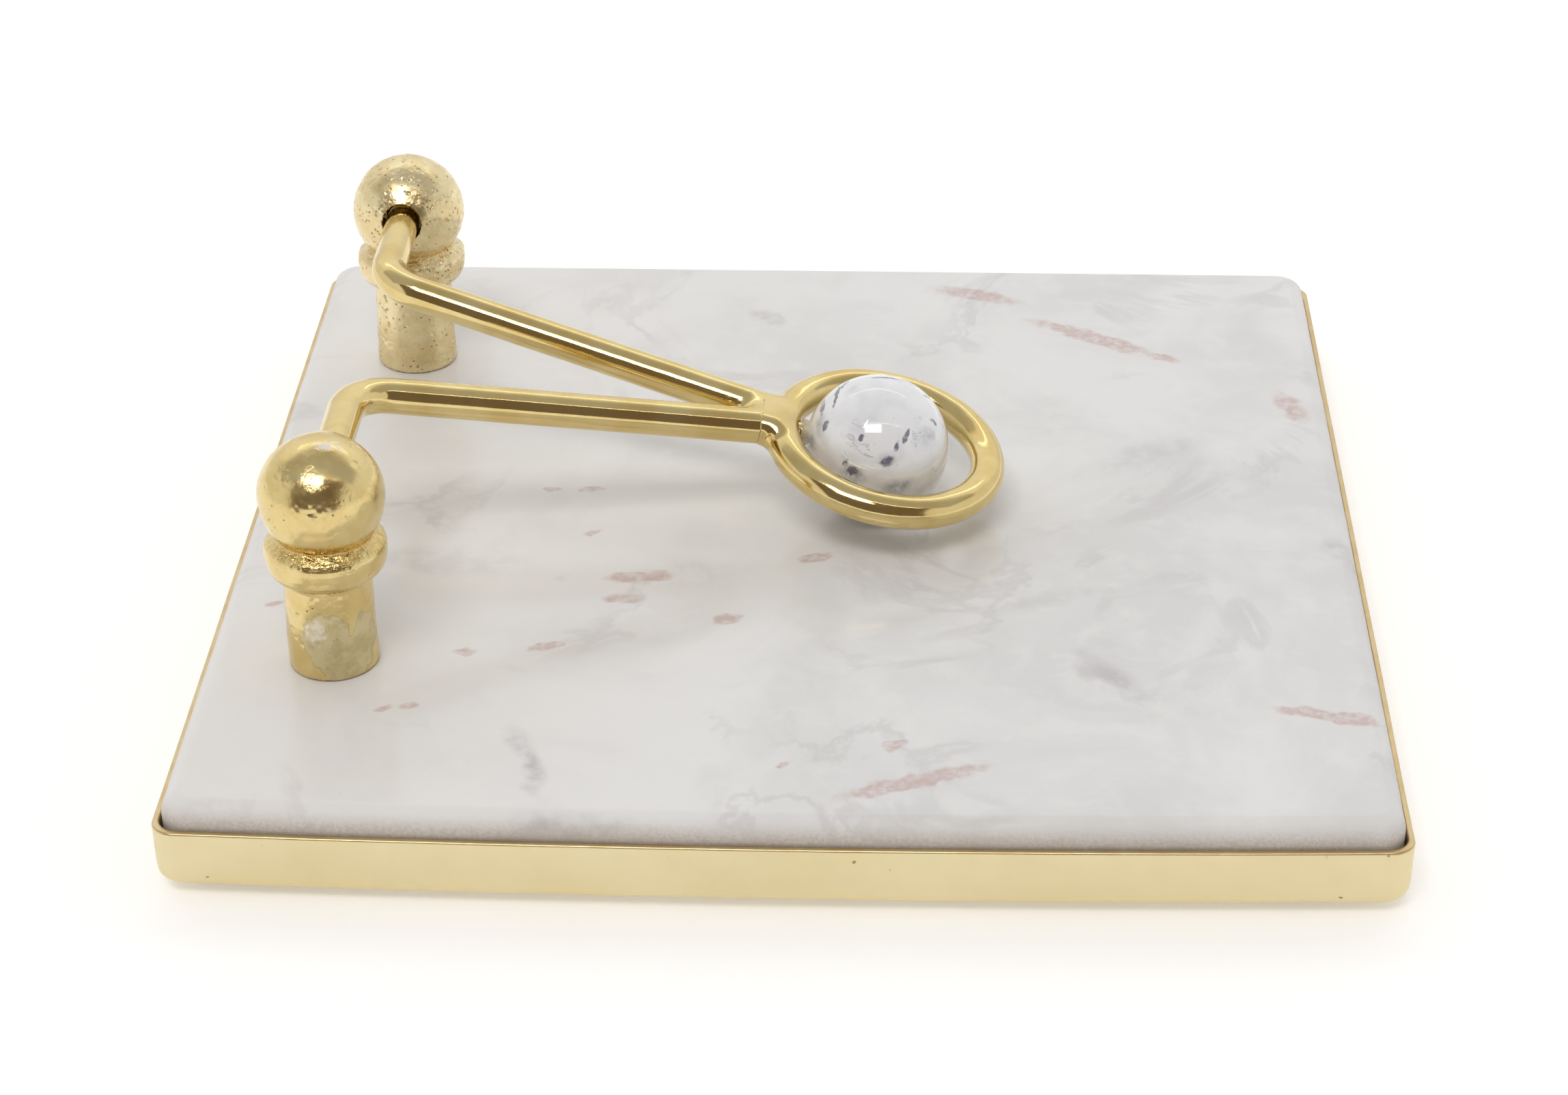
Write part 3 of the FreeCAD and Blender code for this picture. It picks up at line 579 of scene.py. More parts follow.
def marble_material():
    """Polished white marble: faint clouds, a few grey drifts and scattered pink marks."""
    n = Surface("marble_stone")
    wide = n.noise(38, 5, 0.55, 0.6)
    base = n.mix(n.ramp(wide, 0.38, 0.68), (0.85, 0.85, 0.85), (0.755, 0.752, 0.752))
    fine = n.noise(7, 5, 0.6, 0.4)
    base = n.mix(n.ramp(fine, 0.45, 0.75, 0, 0.5), base, (0.87, 0.868, 0.862))
    warm = n.ramp(n.split(n.place)[0], 20, -90, 0.0, 0.5)
    base = n.mix(warm, base, (0.86, 0.84, 0.82))
    drift = n.warped(9, 5)
    vein = n.maths("ABSOLUTE", n.maths("SUBTRACT", n.noise(52, 6, 0.6, 0.9), 0.5))
    vein = n.maths("MULTIPLY", n.ramp(vein, 0.035, 0.0), n.ramp(n.noise(26, 2), 0.46, 0.66))
    base = n.mix(n.maths("MULTIPLY", vein, 0.35), base, (0.56, 0.545, 0.55))
    broken = n.ramp(n.noise(4.5, 4, 0.6), 0.32, 0.62, 0.25, 1.0)
    grey = n.maths("MULTIPLY", n.marks(drift, GREY_MARKS), broken)
    base = n.mix(n.maths("MULTIPLY", grey, 0.62), base, (0.40, 0.375, 0.39))
    pink = n.marks(n.warped(3.4, 1.7), PINK_MARKS)
    grainy = n.ramp(n.noise(1.5, 5, 0.65), 0.34, 0.62, 0.35, 1.0)
    pink = n.maths("MULTIPLY", n.ramp(pink, 0.0, 0.5), grainy)
    base = n.mix(n.maths("MULTIPLY", pink, 0.72), base, (0.60, 0.42, 0.39))
    stray = n.ramp(n.noise(2.8, 4, 0.6), 0.68, 0.78)
    stray = n.maths("MULTIPLY", stray, n.ramp(n.noise(24, 2), 0.52, 0.66))
    base = n.mix(n.maths("MULTIPLY", stray, 0.40), base, (0.62, 0.48, 0.46))
    height = n.split(n.place)[2]
    side = n.ramp(height, SLAB_TOP - 0.005, SLAB_TOP - 0.06)
    # Painted shade: from just under the top, down over the rounded edge and the side, the slab is made
    # darker and browner, broken up by a fine grain.
    edge_shade = n.ramp(height, SLAB_TOP - 0.3, SLAB_TOP - 3.2)
    edge_shade = n.maths("MULTIPLY", edge_shade, n.ramp(n.noise(0.5, 4, 0.7), 0.35, 0.65, 0.55, 0.85))
    base = n.mix(edge_shade, base, (0.50, 0.44, 0.385))
    rough = n.ramp(n.noise(2.2, 4), 0.3, 0.75, 0.09, 0.18)
    rough = n.maths("MAXIMUM", rough, n.maths("MULTIPLY", side, 0.6))
    normal = n.bump(n.noise(1.1, 3), 0.002)
    n.shader.inputs["IOR"].default_value = 1.45
    return n.finish(Base_Color=base, Roughness=rough, Normal=normal)


# Veins and blotches of the stone ball, in the same form but placed from its centre.
HOWLITE_MARKS = [
    ((1.6, 2.4, 11.8), 12, 3.4, 0.55, 1.0),
    ((5.0, 3.0, 10.7), -14, 2.6, 0.50, 0.9),
    ((-6.9, -0.8, 9.9), 80, 4.6, 0.55, 1.0),
    ((-5.6, 2.2, 10.6), 66, 2.6, 0.45, 0.9),
    ((-9.3, -1.0, 7.8), 80, 2.8, 0.8, 0.9),
    ((-8.6, -5.4, 6.8), 60, 1.2, 0.9, 0.8),
    ((4.9, -8.8, 6.8), 62, 2.4, 0.45, 0.8),
    ((3.6, -9.8, 5.2), 62, 1.6, 0.40, 0.7),
    ((-2.5, -9.8, 6.9), 20, 0.8, 0.5, 0.55),
    ((1.8, -11.5, 3.5), 10, 1.9, 0.9, 0.5),
    ((9.5, -3.5, 6.8), 30, 1.2, 0.6, 0.5),
    ((8.4, 1.6, 8.9), 50, 1.4, 0.5, 0.7),
    ((-3.9, -11.5, 1.4), 30, 1.8, 1.8, 0.55),
    ((-5.2, -10.9, 2.8), 50, 1.2, 0.9, 0.4),
]
HOWLITE_CLOUDS = [
    ((-3.6, -11.4, 0.6), 10, 3.6, 3.4, 1.0),
    ((3.6, -11.2, -1.6), 10, 4.6, 3.4, 1.0),
    ((-10.8, -4.0, 2.5), 60, 3.2, 3.0, 0.9),
    ((1.8, -11.3, 3.2), 0, 2.6, 2.0, 0.8),
    ((-9.4, -4.0, 6.0), 60, 4.2, 2.6, 0.8),
    ((-8.0, 2.5, 8.5), 70, 4.0, 2.2, 0.6),
    ((8.0, -6.4, 5.4), 30, 3.4, 2.2, 0.7),
    ((-4.0, -1.0, 11.0), 60, 2.8, 2.0, 0.40),
    ((3.0, 10.5, 3.0), 20, 4.0, 3.0, 0.8),
    ((-5.0, 9.0, -5.0), 50, 3.6, 2.6, 0.8),
    ((10.5, 2.0, -4.0), 80, 3.6, 2.6, 0.7),
]


def howlite_material():
    """White stone with dark blue-grey veins, under a gloss polish."""
    n = Surface("howlite_stone")
    moved = n.vector("SUBTRACT", n.place, tuple(STONE_CENTRE))
    base = n.mix(n.ramp(n.noise(6, 4, 0.55, 0.3), 0.40, 0.75), (0.90, 0.91, 0.94), (0.78, 0.80, 0.84))
    shift = n.vector("SUBTRACT", n.warped(1.6, 0.55), tuple(STONE_CENTRE))
    cloud = n.marks(shift, HOWLITE_CLOUDS, 2.4)
    cloud = n.maths("MULTIPLY", cloud, n.ramp(n.noise(2.2, 6, 0.65), 0.30, 0.70, 0.15, 1.0))
    base = n.mix(n.maths("MULTIPLY", cloud, 0.85), base, (0.26, 0.28, 0.33))
    web = n.maths("ABSOLUTE", n.maths("SUBTRACT", n.noise(6.5, 5, 0.62, 1.2), 0.5))
    web = n.maths("MULTIPLY", n.ramp(web, 0.018, 0.0), n.ramp(n.noise(4.2, 3), 0.56, 0.66))
    base = n.mix(n.maths("MULTIPLY", web, 0.5), base, (0.15, 0.16, 0.22))
    line = n.marks(shift, HOWLITE_MARKS, 1.6)
    line = n.maths("MULTIPLY", line, n.ramp(n.noise(1.1, 4, 0.65), 0.34, 0.56, 0.35, 1.0))
    base = n.mix(n.ramp(line, 0.04, 0.36, 0.0, 0.88), base, (0.12, 0.125, 0.19))
    speck = n.maths("MULTIPLY", n.ramp(n.noise(0.8, 3), 0.72, 0.78), n.ramp(n.noise(4, 2), 0.55, 0.66))
    base = n.mix(n.maths("MULTIPLY", speck, 0.6), base, (0.2, 0.21, 0.26))
    # Painted shade: the stone is darker and warmer from just below its middle downwards.
    warm = n.ramp(n.split(moved)[2], -2, -11, 0, 0.35)
    base = n.mix(warm, base, (0.80, 0.74, 0.66))
    rough = n.ramp(n.noise(1.5, 3), 0.3, 0.8, 0.05, 0.10)
    n.shader.inputs["Coat Weight"].default_value = 0.6
    n.shader.inputs["Coat Roughness"].default_value = 0.03
    return n.finish(Base_Color=base, Roughness=rough, Normal=n.bump(n.noise(2.5, 3), 0.006))


def glue_material():
    """Cloudy clear glue with a little yellow in it."""
    n = Surface("clear_glue")
    base = n.mix(n.ramp(n.noise(1.2, 4), 0.35, 0.7), (0.80, 0.70, 0.46), (0.90, 0.86, 0.72))
    n.shader.inputs["Transmission Weight"].default_value = 0.35
    n.shader.inputs["IOR"].default_value = 1.46
    rough = n.ramp(n.noise(0.8, 3), 0.3, 0.8, 0.12, 0.3)
    return n.finish(Base_Color=base, Roughness=rough, Normal=n.bump(n.noise(0.9, 4), 0.12))


def plain_material(name, first, second, size, low_rough, high_rough, depth, metallic=0.0):
    """Two tones with a grain of the size, in millimetres, and a bump of the depth."""
    n = Surface(name)
    base = n.mix(n.ramp(n.noise(size * 4, 4), 0.35, 0.7), first, second)
    rough = n.ramp(n.noise(size * 2, 4), 0.3, 0.75, low_rough, high_rough)
    normal = n.bump(n.noise(size, 4), depth)
    return n.finish(Base_Color=base, Metallic=metallic, Roughness=rough, Normal=normal)


# ---------------------------------------------------------------- tray and slab

def plan_loop(low, high, inset, corner, bow, sides=48, turns=14):
    """A rounded rectangle whose front side bows out by the bow, as x and y, anticlockwise."""
    x_low, x_high = low[0] + inset, high[0] - inset
    y_low, y_high = low[1] + inset + bow, high[1] - inset
    corners = [(x_high - corner, y_low + corner, -90), (x_high - corner, y_high - corner, 0),
               (x_low + corner, y_high - corner, 90), (x_low + corner, y_low + corner, 180)]
    loop = []
    for number, (x, y, start) in enumerate(corners):
        for turn in range(turns + 1):
            angle = math.radians(start + 90 * turn / turns)
            loop.append((x + corner * math.cos(angle), y + corner * math.sin(angle)))
        after = corners[(number + 1) % 4]
        angle = math.radians(start + 90)
        far = (after[0] + corner * math.cos(angle), after[1] + corner * math.sin(angle))
        near = loop[-1]
        for step in range(1, sides):
            share = step / sides
            loop.append((near[0] + (far[0] - near[0]) * share, near[1] + (far[1] - near[1]) * share))
    loop = np.array(loop)
    middle = (x_low + x_high) / 2
    half = (x_high - x_low) / 2
    y_middle = (y_low + y_high) / 2
    front = loop[:, 1] < y_middle
    share = np.clip(1 - (loop[:, 0] - middle) ** 2 / (half - corner * 0.3) ** 2, 0, 1)
    pushed = bow * share * (loop[:, 1] - y_middle) / (y_low - y_middle)
    loop[:, 1] -= np.where(front, pushed, 0)
    return loop


def arc_steps(x, z, radius, first, last, steps):
    """Points on an arc, from one angle to another in degrees."""
    angles = np.radians(np.linspace(first, last, steps + 1))
    return [(x + radius * math.cos(a), z + radius * math.sin(a)) for a in angles]


def make_lofted(name, section, corner_at, low, high, bow, wobble, **facts):
    """A tray or a slab: the section's points are inset and height, from the underside's middle
    round the outside to the upper side's middle."""
    loops = []
    for inset, height in section:
        loop = plan_loop(low, high, inset, corner_at(inset), bow)
        loops.append(np.column_stack([loop, np.full(len(loop), height)]))
    points = np.concatenate(loops)
    away = points[:, :2] / np.maximum(np.abs(points[:, :2]).max(axis=1), 1)[:, None]
    edge = np.abs(points[:, :2]).max(axis=1) > min(high[:2]) - 8
    points[:, :2] -= away * (wobble(points) * edge)[:, None]
    return make_piece(name, points, strip_faces(len(section), len(loops[0])), **facts)


def make_tray():
    base = TRAY_LOW[2]
    top = TRAY_HIGH[2]
    floor = base + TRAY_FLOOR
    roll_top = base + TRAY_ROLL
    rim_low = top - RIM_ROUND
    foot = TRAY_CLEARANCE + (top - base) * TRAY_LEAN + TRAY_ROLL
    section = [(inset, base) for inset in FLAT_INSETS]
    section.append((foot + 0.6, base))
    for x, z in arc_steps(-foot, roll_top, TRAY_ROLL, -90, -1, 14):
        section.append((-x, z))
    for share in np.linspace(0.1, 0.94, 9):
        height = roll_top + (rim_low - roll_top) * share
        section.append((TRAY_CLEARANCE + (top - height) * TRAY_LEAN, height))
    rim = TRAY_CLEARANCE + RIM_ROUND
    for x, z in arc_steps(-rim, rim_low, RIM_ROUND, 1, 90, 5):
        section.append((-x, z))
    inner = TRAY_CLEARANCE + TRAY_WALL
    for x, z in arc_steps(RIM_ROUND - inner, rim_low, RIM_ROUND, 90, 179, 5):
        section.append((-x, z))
    for share in np.linspace(0.15, 0.85, 5):
        height = rim_low - (rim_low - floor) * share
        section.append((inner + (top - height) * TRAY_LEAN, height))
    inner += (top - floor) * TRAY_LEAN
    section += [(inner + 0.3, floor + 0.2), (inner + 1.0, floor), (inner + 2.0, floor)]
    section += [(inset, floor) for inset in reversed(FLAT_INSETS)]

    def corner_at(inset):
        return max(TRAY_CORNER - inset * 0.45, 1.6)

    def wobble(points):
        upper = points[:, 2] > base + 8
        return 0.10 * (0.5 + 0.5 * lumps(points, 24, 5)) + 0.03 * lumps(points, 9, 6) * upper

    make_lofted("tray", section, corner_at, TRAY_LOW, TRAY_HIGH, FRONT_BOW, wobble,
                body="base", replaced=["tray"], slot="tray_gilt", material=tray_material())


def make_slab():
    base = SLAB_LOW[2]
    top = SLAB_HIGH[2]
    side_low = base + SLAB_CHAMFER
    side_high = top - SLAB_EDGE
    section = [(inset, base) for inset in FLAT_INSETS]
    section += [(SLAB_CHAMFER + 1.2, base), (SLAB_CHAMFER + 0.2, base), (SLAB_CHAMFER, base + 0.1)]
    section.append((SLAB_CLEARANCE + 0.03, side_low))
    section.append((SLAB_CLEARANCE, side_low + 1))
    for share in np.linspace(0.2, 0.9, 4):
        section.append((SLAB_CLEARANCE, side_low + (side_high - side_low) * share))
    for x, z in arc_steps(-SLAB_EDGE - SLAB_CLEARANCE, side_high, SLAB_EDGE, 0, 90, 14):
        section.append((-x, z))
    section += [(SLAB_EDGE + 0.5, top), (SLAB_EDGE + 1.5, top)]
    section += [(inset, top) for inset in reversed(FLAT_INSETS)]

    def corner_at(inset):
        return SLAB_CORNER - min(inset, SLAB_EDGE) * 0.3

    def wobble(points):
        return 0.05 + 0.05 * lumps(points, 5, 9) + 0.12 * pits(points, 7, 1.2, 0.12, 40)

    make_lofted("marble_slab", section, corner_at, SLAB_LOW, SLAB_HIGH, FRONT_BOW, wobble,
                body="base", replaced=["marble_slab"], slot="marble", material=marble_material())


# ---------------------------------------------------------------- posts

def make_post(end, turn, seed, pitting):
    """A cast post. turn is 1 where its bore opens towards +y and -1 where it opens towards -y."""
    low, high = box_mm(end + "_post")
    middle = (low + high) / 2
    axis = np.array([middle[0], middle[1], SLAB_TOP])
    heights, radii = np.array(SHANK).T
    bore_height = PIVOT[2] - SLAB_TOP

    def plain(points):
        at = points - axis
        spread = np.hypot(at[:, 0], at[:, 1])
        turned = spread - np.interp(at[:, 2], heights, radii)
        turned = np.maximum(turned, np.maximum(-at[:, 2], at[:, 2] - SHANK_TOP))
        ball = np.linalg.norm(at - np.array([0, 0, POST_BALL_HEIGHT]), axis=-1) - POST_BALL
        body = blended(turned, ball, NECK_FILLET) + POST_CLEARANCE
        depth = turn * at[:, 1]
        across = np.hypot(at[:, 0], at[:, 2] - bore_height)
        bore = np.maximum(across - BORE_RADIUS, POST_BALL - BORE_DEPTH - depth)
        across = np.hypot(at[:, 0], at[:, 2] - bore_height - MOUTH_LIFT)
        mouth = np.maximum(across - MOUTH_RADIUS, POST_BALL - MOUTH_DEPTH - depth)
        return cut(np.maximum(body, -at[:, 2]), np.minimum(bore, mouth), MOUTH_EDGE)

    def field(points):
        height = points[:, 2] - axis[2]
        rough = 0.12 * lumps(points, 5.5, seed) + 0.05 * lumps(points, 2.2, seed + 1) * (0.5 + pitting)
        patch = np.clip(lumps(points, 3.5, seed + 5) + 0.2 * pitting, 0, 1)
        rough += 0.06 * patch * lumps(points, 0.7, seed + 2) * (1 + pitting)
        bevel = np.exp(-((height - BEVEL_HEIGHT) / 0.6) ** 2)
        rough += 0.17 * bevel * (lumps(points, 1.1, seed + 3) + 0.5 * lumps(points, 0.6, seed + 4))
        rough += pits(points, 1.9, 0.55, 0.12 + 0.5 * pitting, seed + 8) * (0.10 + 0.14 * pitting)
        return plain(points) + rough * np.clip(height / 0.8, 0, 1)

    colour = GOLD if turn > 0 else PALE_GOLD
    worn = (middle[0] + 0.5, middle[1] - 7.0) if turn > 0 else None
    material = post_material(end + "_post_gilt", colour, pitting, worn)
    make_field_piece(end + "_post", field, low, high, 0.26, "base", [end + "_post"], "post_gilt",
                     material, plain=plain)


# ---------------------------------------------------------------- arm

def rod_path(side):
    """Places along the rod's middle, from its tip in the post to the seam, and the way it runs."""
    low, high = box_mm(("front" if side < 0 else "rear") + "_arm_rod")
    tip = (low[1] if side < 0 else high[1]) - PIVOT[1]
    root = np.array([0, side * ROOT_HALF, 0.0])
    meet = np.array([MEET_REACH, NECK_SHIFT, 0.0])
    along = (meet - root) / np.linalg.norm(meet - root)
    outward = np.array([0, side, 0.0])
    half_turn = math.acos(along @ outward) / 2
    setback = BEND_RADIUS / math.tan(half_turn)
    bend_start, bend_end = root + outward * setback, root + along * setback
    bisector = (along + outward) / np.linalg.norm(along + outward)
    middle = root + bisector * BEND_RADIUS / math.sin(half_turn)
    start = np.array([0, tip, 0])
    places = [start + (bend_start - start) * share for share in np.linspace(0, 1, 60)]
    one, two = bend_start - middle, bend_end - middle
    sweep = math.acos(np.clip(one @ two / BEND_RADIUS ** 2, -1, 1))
    for share in np.linspace(0, 1, 24)[1:]:
        blend = (math.sin((1 - share) * sweep) * one + math.sin(share * sweep) * two) / math.sin(sweep)
        places.append(middle + blend)
    end = root + along * (SEAM_REACH / along[0])
    places += [bend_end + (end - bend_end) * share for share in np.linspace(0, 1, 110)[1:]]
    return np.array(places), along


def make_rod(end, side, seed):
    """One half of the arm, swept along its path and cut square to the arm at the seam."""
    places, along = rod_path(side)
    ways = np.gradient(places, axis=0)
    ways /= np.linalg.norm(ways, axis=1)[:, None]
    columns = 64
    angles = np.linspace(0, 2 * math.pi, columns, endpoint=False)
    rows = []
    up = np.array([0, 0, 1.0])
    for place, way in zip(places, ways):
        across = np.cross(way, up)
        spoke = np.cos(angles)[:, None] * across + np.sin(angles)[:, None] * up
        rows.append(place + ROD_RADIUS * spoke)
    rows = np.array(rows)
    last = rows[-1]
    rows[-1] = last + ((BRAZE_STOP - last[:, 0]) / along[0])[:, None] * along
    inward = (places[:, None, :] - rows) / ROD_RADIUS
    skin = rows.reshape(-1, 3)
    depth = 0.03 + 0.022 * lumps(skin, 6.5, seed) + 0.010 * lumps(skin, 2.4, seed + 1)
    rows += inward * depth.reshape(len(rows), columns, 1)
    tip_cap = places[0] + (rows[0] - places[0]) * 0.85
    end_cap = places[-1] + (rows[-1] - places[-1]) * 0.985
    rows[0] = places[0] + (rows[0] - places[0]) * 0.98
    rows = np.concatenate([tip_cap[None], rows, end_cap[None]])
    material = gold_material(end + "_rod_gilt", GOLD, 0.07, 0.0, 0.5)
    make_piece(end + "_arm_rod", rows.reshape(-1, 3), strip_faces(len(rows), columns), "arm",
               [end + "_arm_rod"], "arm_gilt", material, matrix=ARM)


def rods_field(points):
    """Both rods near the seam, with the brazing metal between them."""
    parts = []
    for side in (-1, 1):
        root = np.array([0, side * ROOT_HALF, 0.0])
        meet = np.array([MEET_REACH, NECK_SHIFT, 0.0])
        parts.append(to_line(points, root, meet) - ROD_RADIUS)
    fill = np.interp(points[:, 0], [SEAM_REACH - 9, SEAM_REACH - 1], [1.0, 5.0])
    return blended(parts[0], parts[1], fill)


def make_braze():
    """The brazing metal in the crotch, with the rod ends it covers."""
    middle = NECK_SHIFT * SEAM_REACH / MEET_REACH

    def field(points):
        body = rods_field(points) + 0.05 + 0.05 * lumps(points, 1.8, 70)
        side = np.abs(points[:, 1] - middle) - BRAZE_HALF_WIDTH
        ends = np.maximum(BRAZE_START - points[:, 0], points[:, 0] - BRAZE_STOP)
        return np.maximum(np.maximum(body, side), ends)

    low = (BRAZE_START, middle - 4, -3.4)
    high = (BRAZE_STOP, middle + 4, 3.4)
    material = gold_material("braze_gilt", GOLD, 0.12, 0.004, 0.8)
    make_field_piece("neck_braze", field, low, high, 0.22, "arm", ["neck_braze"], "braze",
                     material, ARM)


def make_ring():
    """The ring and its lug, with the casting's soft waves."""
    turn = np.array(Matrix.Rotation(-RING_ROLL, 3, "X"))
    seam = NECK_SHIFT * SEAM_REACH / MEET_REACH

    def field(points):
        at = (points - RING_CENTRE) @ turn.T
        spread = np.hypot(at[:, 0], at[:, 1]) - RING_RADIUS
        hoop = np.hypot(spread, at[:, 2]) - RING_TUBE
        shift = np.interp(points[:, 0], [SEAM_REACH, LUG_END], [seam, RING_CENTRE[1]])
        width = np.abs(points[:, 1] - shift) - LUG_HALF_WIDTH
        block = np.stack([points[:, 0] - LUG_END + LUG_ROUND, width, np.abs(points[:, 2]) - 0.5], axis=-1)
        lug = np.linalg.norm(np.maximum(block, 0), axis=-1) + np.minimum(block.max(axis=-1), 0) - LUG_ROUND
        lug = np.maximum(lug, LUG_FACE - points[:, 0])
        waves = 0.05 + 0.085 * lumps(points, 8.0, 31) + 0.018 * lumps(points, 3.0, 32)
        body = blended(hoop, lug, 1.6) + waves
        pin = np.hypot(points[:, 1] - RING_CENTRE[1], points[:, 2] - RING_CENTRE[2]) - PIN_HOLE_RADIUS
        pin = np.maximum(pin, PIN_HOLE_START - points[:, 0])
        pin = np.maximum(pin, points[:, 0] - RING_CENTRE[0])
        return np.maximum(np.maximum(body, -pin), LUG_FACE - points[:, 0])

    reach = RING_RADIUS + RING_TUBE
    low = (SEAM_REACH, RING_CENTRE[1] - reach, -6.0)
    high = (RING_CENTRE[0] + reach, RING_CENTRE[1] + reach, 6.0)
    make_field_piece("ring", field, low, high, 0.30, "arm", ["ring"], "arm_gilt",
                     gold_material("ring_gilt", GOLD, 0.08, 0.002, 0.9), ARM)


def make_stone():
    """The stone ball, with the small chips and hollows of a tumbled bead."""
    def field(points):
        at = points - STONE_CENTRE
        body = np.linalg.norm(at, axis=-1) - STONE_RADIUS
        return body + 0.04 + 0.03 * lumps(points, 9, 51) + 0.08 * pits(points, 5, 0.6, 0.10, 55)

    make_field_piece("stone_ball", field, BALL_LOW, BALL_HIGH, 0.42, "arm", ["stone_ball"], "howlite",
                     howlite_material())


def make_glue():
    """The bead of glue round the pin, flared where it meets the stone."""
    inverse = np.array(ARM.inverted())
    stone = inverse[:3, :3] @ STONE_CENTRE + inverse[:3, 3]
    face = stone[0] - STONE_RADIUS
    middle = np.array([face - 0.1, RING_CENTRE[1], RING_CENTRE[2]])

    def field(points):
        at = points - middle
        spread = np.hypot(at[:, 1], at[:, 2])
        flare = 2.15 + 0.16 * at[:, 0] ** 2
        body = spread - np.minimum(flare, 3.1) + 0.35 * lumps(points, 1.3, 61)
        return np.maximum(body, np.maximum(-0.9 - at[:, 0], at[:, 0] - 1.0))

    low = middle - np.array([1.2, 3.6, 3.6])
    high = middle + np.array([1.3, 3.6, 3.6])
    make_field_piece("pin_glue", field, low, high, 0.15, "arm", ["pin_glue"], "glue",
                     glue_material(), ARM)


# ---------------------------------------------------------------- surroundings

# Brightness of the light tent's parts.
TENT = 0.85
REAR = 0.15
ROOF = 0.48
GAP = 0.19
LAMP = 7.6
STRIP = 3.4


def add_world():
    """A white light tent: a greyer roof, a dark brown gap where the camera stands, a broad lamp in
    front and a small one on the left, a thin bright strip in front and another behind, and a dim
    broad card behind."""
    world = bpy.data.worlds.new("studio")
    bpy.context.scene.world = world
    world.use_nodes = True
    n = Nodes(world.node_tree)
    background = n.tree.nodes["Background"]
    way = n.tree.nodes.new("ShaderNodeTexCoord").outputs["Generated"]
    x, y, z = n.split(way)[:3]
    azimuth = n.maths("ARCTAN2", x, n.maths("MULTIPLY", y, -1))
    height = n.maths("ARCSINE", z)

    def band(value, middle, half, soft):
        """1 within half of the middle, both in degrees, with soft ends."""
        away = n.maths("ABSOLUTE", n.maths("SUBTRACT", value, math.radians(middle)))
        return n.ramp(away, math.radians(half + soft), math.radians(half - soft))

    def patch(turn, half_turn, lift, half_lift, soft):
        """A card about a turn from straight in front and a lift above the floor, in degrees."""
        across = band(azimuth, turn, half_turn, soft)
        return n.maths("MULTIPLY", across, band(height, lift, half_lift, soft))

    def card(first, last, low, high, soft=2):
        """A card that fills the given span of forward tilt, in degrees from straight up, and of x."""
        there = band(forward, (first + last) / 2, (last - first) / 2, soft)
        return n.maths("MULTIPLY", there, n.maths("MULTIPLY", n.ramp(x, low - 0.03, low + 0.03),
                                                  n.ramp(x, high + 0.03, high - 0.03)))

    def add(level, card_share, brightness):
        return n.maths("ADD", level, n.maths("MULTIPLY", card_share, brightness))

    forward = n.maths("ARCTAN2", n.maths("MULTIPLY", y, -1), z)
    level = n.maths("ADD", n.maths("MULTIPLY", card(-30, 25, -0.85, 0.85, 4), ROOF - TENT), TENT)
    gap = card(25, 112, -0.70, 0.70)
    level = add(n.maths("MULTIPLY", level, n.maths("SUBTRACT", 1, gap)), gap, GAP)
    lamps = n.maths("ADD", card(26, 40, -0.32, 0.12, 0.8), patch(-36, 3.2, 60, 7, 0.8))
    level = add(level, lamps, LAMP)
    level = add(level, card(23.6, 25.2, -0.45, 0.62, 0.4), STRIP)
    level = add(level, card(-70, -20, -0.70, 0.70, 12), REAR)
    level = add(level, card(-44, -41.5, -0.50, 0.50, 0.5), STRIP * 0.5)
    n.feed(background.inputs["Strength"], level)
    brown = n.maths("SUBTRACT", gap, n.maths("MINIMUM", lamps, gap))
    n.feed(background.inputs["Color"], n.mix(brown, (1.0, 0.995, 0.985), (1.0, 0.80, 0.64)))


def add_floor():
    """Pale paper, lit a little from within so that it stays white to the edges."""
    size = 4.0
    steps = 8
    side = np.linspace(-size, size, steps + 1)
    points = [(x, y, 0) for y in side for x in side]
    faces = []
    for row, column in product(range(steps), repeat=2):
        first = row * (steps + 1) + column
        faces.append((first, first + 1, first + steps + 2, first + steps + 1))
    mesh = bpy.data.meshes.new("floor")
    mesh.from_pydata(points, [], faces)
    floor = bpy.data.objects.new("floor", mesh)
    bpy.context.scene.collection.objects.link(floor)
    n = Surface("floor_paper")
    base = n.mix(n.noise(60, 3), (0.92, 0.92, 0.925), (0.94, 0.94, 0.945))
    n.shader.inputs["Emission Color"].default_value = (1, 1, 1, 1)
    n.shader.inputs["Emission Strength"].default_value = 0.27
    mesh.materials.append(n.finish(Base_Color=base, Roughness=0.9))


# The camera, in metres, radians and millimetres of lens.
CAMERA_PLACE = (0.01976, -0.52902, 0.31989)
CAMERA_YAW = -0.03384
CAMERA_PITCH = 0.52058
CAMERA_ROLL = -0.00388
CAMERA_LENS = 81.79
CAMERA_SHIFT = (-0.01759, -0.02697)


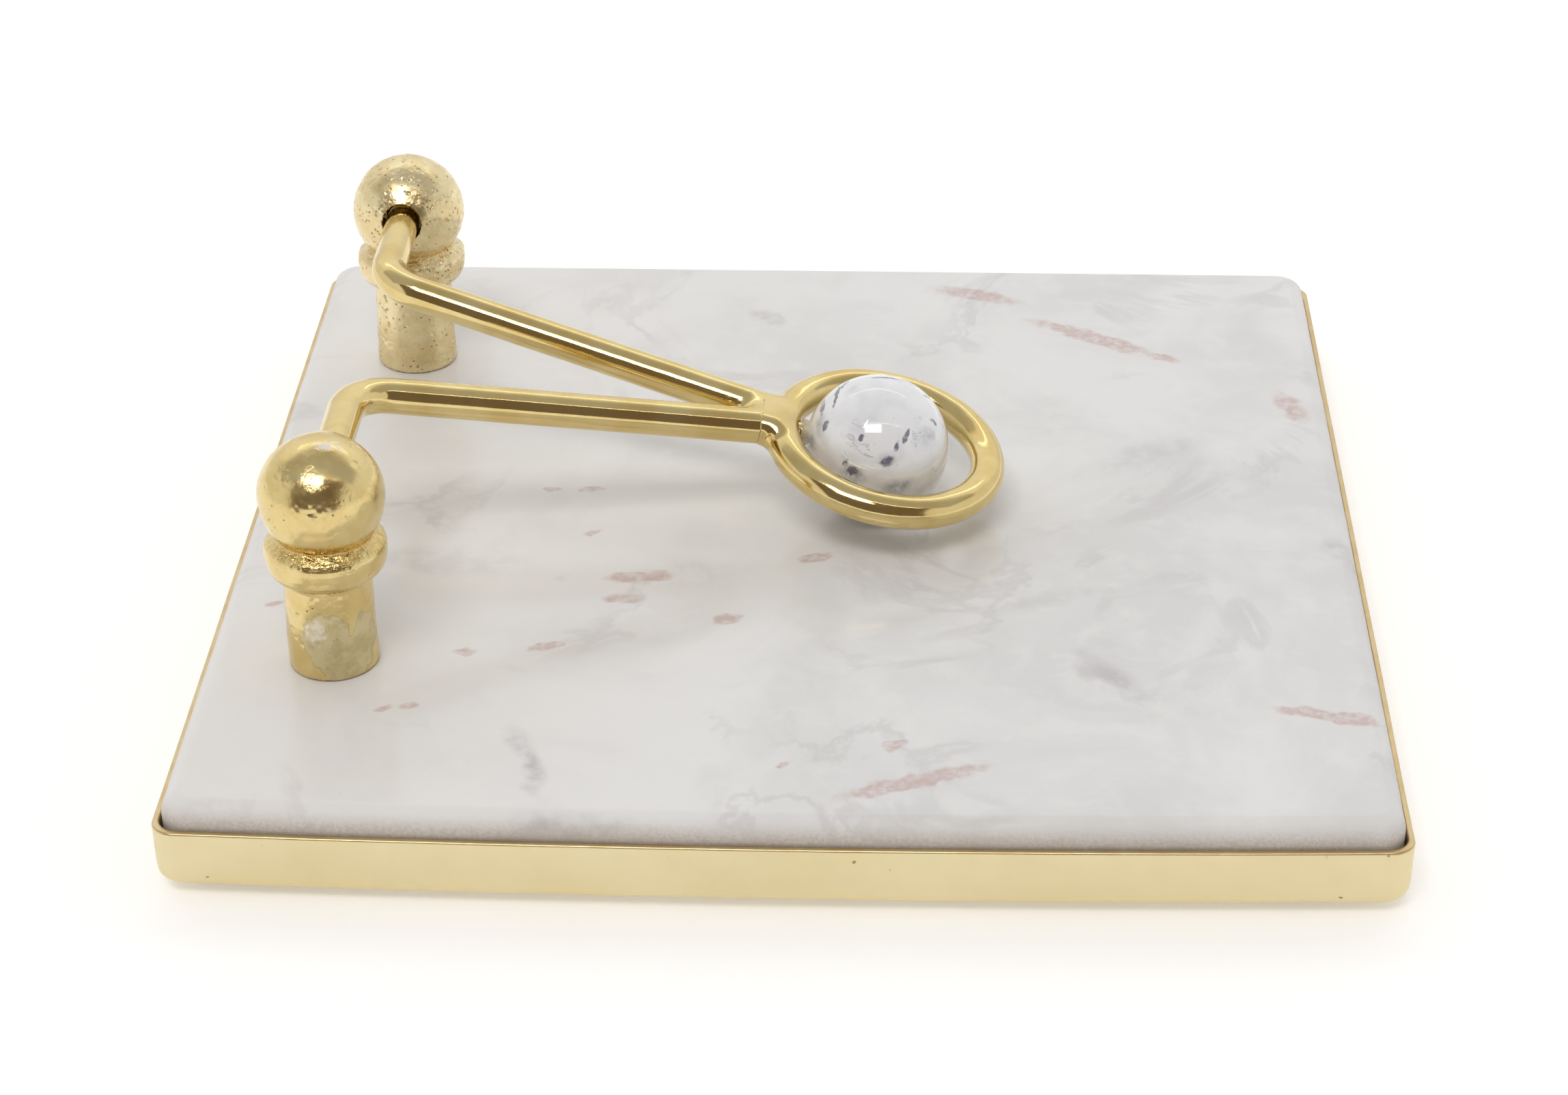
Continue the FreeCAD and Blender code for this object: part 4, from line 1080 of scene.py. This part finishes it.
def add_camera():
    data = bpy.data.cameras.new("camera")
    data.sensor_width = 36
    data.lens = CAMERA_LENS
    data.shift_x, data.shift_y = CAMERA_SHIFT
    data.clip_start = 0.01
    data.clip_end = 20
    camera = bpy.data.objects.new("camera", data)
    flat = math.cos(CAMERA_PITCH)
    forward = Vector((math.sin(CAMERA_YAW) * flat, math.cos(CAMERA_YAW) * flat, -math.sin(CAMERA_PITCH)))
    level = Vector((math.cos(CAMERA_YAW), -math.sin(CAMERA_YAW), 0))
    above = level.cross(forward)
    right = level * math.cos(CAMERA_ROLL) + above * math.sin(CAMERA_ROLL)
    up = above * math.cos(CAMERA_ROLL) - level * math.sin(CAMERA_ROLL)
    turn = Matrix((right, up, -forward)).transposed().to_4x4()
    camera.matrix_world = Matrix.Translation(CAMERA_PLACE) @ turn
    bpy.context.scene.collection.objects.link(camera)
    bpy.context.scene.camera = camera


def dress_nodes():
    """Materials for the CAD nodes that stay."""
    steel = plain_material("zinc_steel", (0.60, 0.60, 0.61), (0.50, 0.50, 0.52),
                           0.6, 0.25, 0.42, 0.01, 1.0)
    rubber = plain_material("matt_rubber", (0.035, 0.035, 0.035), (0.055, 0.054, 0.052),
                            0.3, 0.65, 0.85, 0.03)
    foam = plain_material("dark_foam", (0.10, 0.10, 0.10), (0.15, 0.15, 0.15),
                          0.5, 0.85, 0.95, 0.15)
    pin = gold_material("pin_gilt", PALE_GOLD, 0.16, 0.004, 0.6)
    chosen = {"post_screws": steel, "post_washers": steel, "bedding_pad": foam, "ball_pin": pin}
    for name in frame["nodes"]:
        if name.startswith("foot_"):
            chosen[name] = rubber
    for name, material in chosen.items():
        mesh = frame["nodes"][name].data
        mesh.materials.clear()
        mesh.materials.append(material)


add_camera()
add_world()
add_floor()
bpy.context.scene.view_settings.view_transform = "Standard"
make_tray()
make_slab()
make_post("front", 1, 11, 0.25)
make_post("rear", -1, 23, 1.0)
make_rod("front", -1, 3)
make_rod("rear", 1, 4)
make_braze()
make_ring()
make_stone()
make_glue()
dress_nodes()
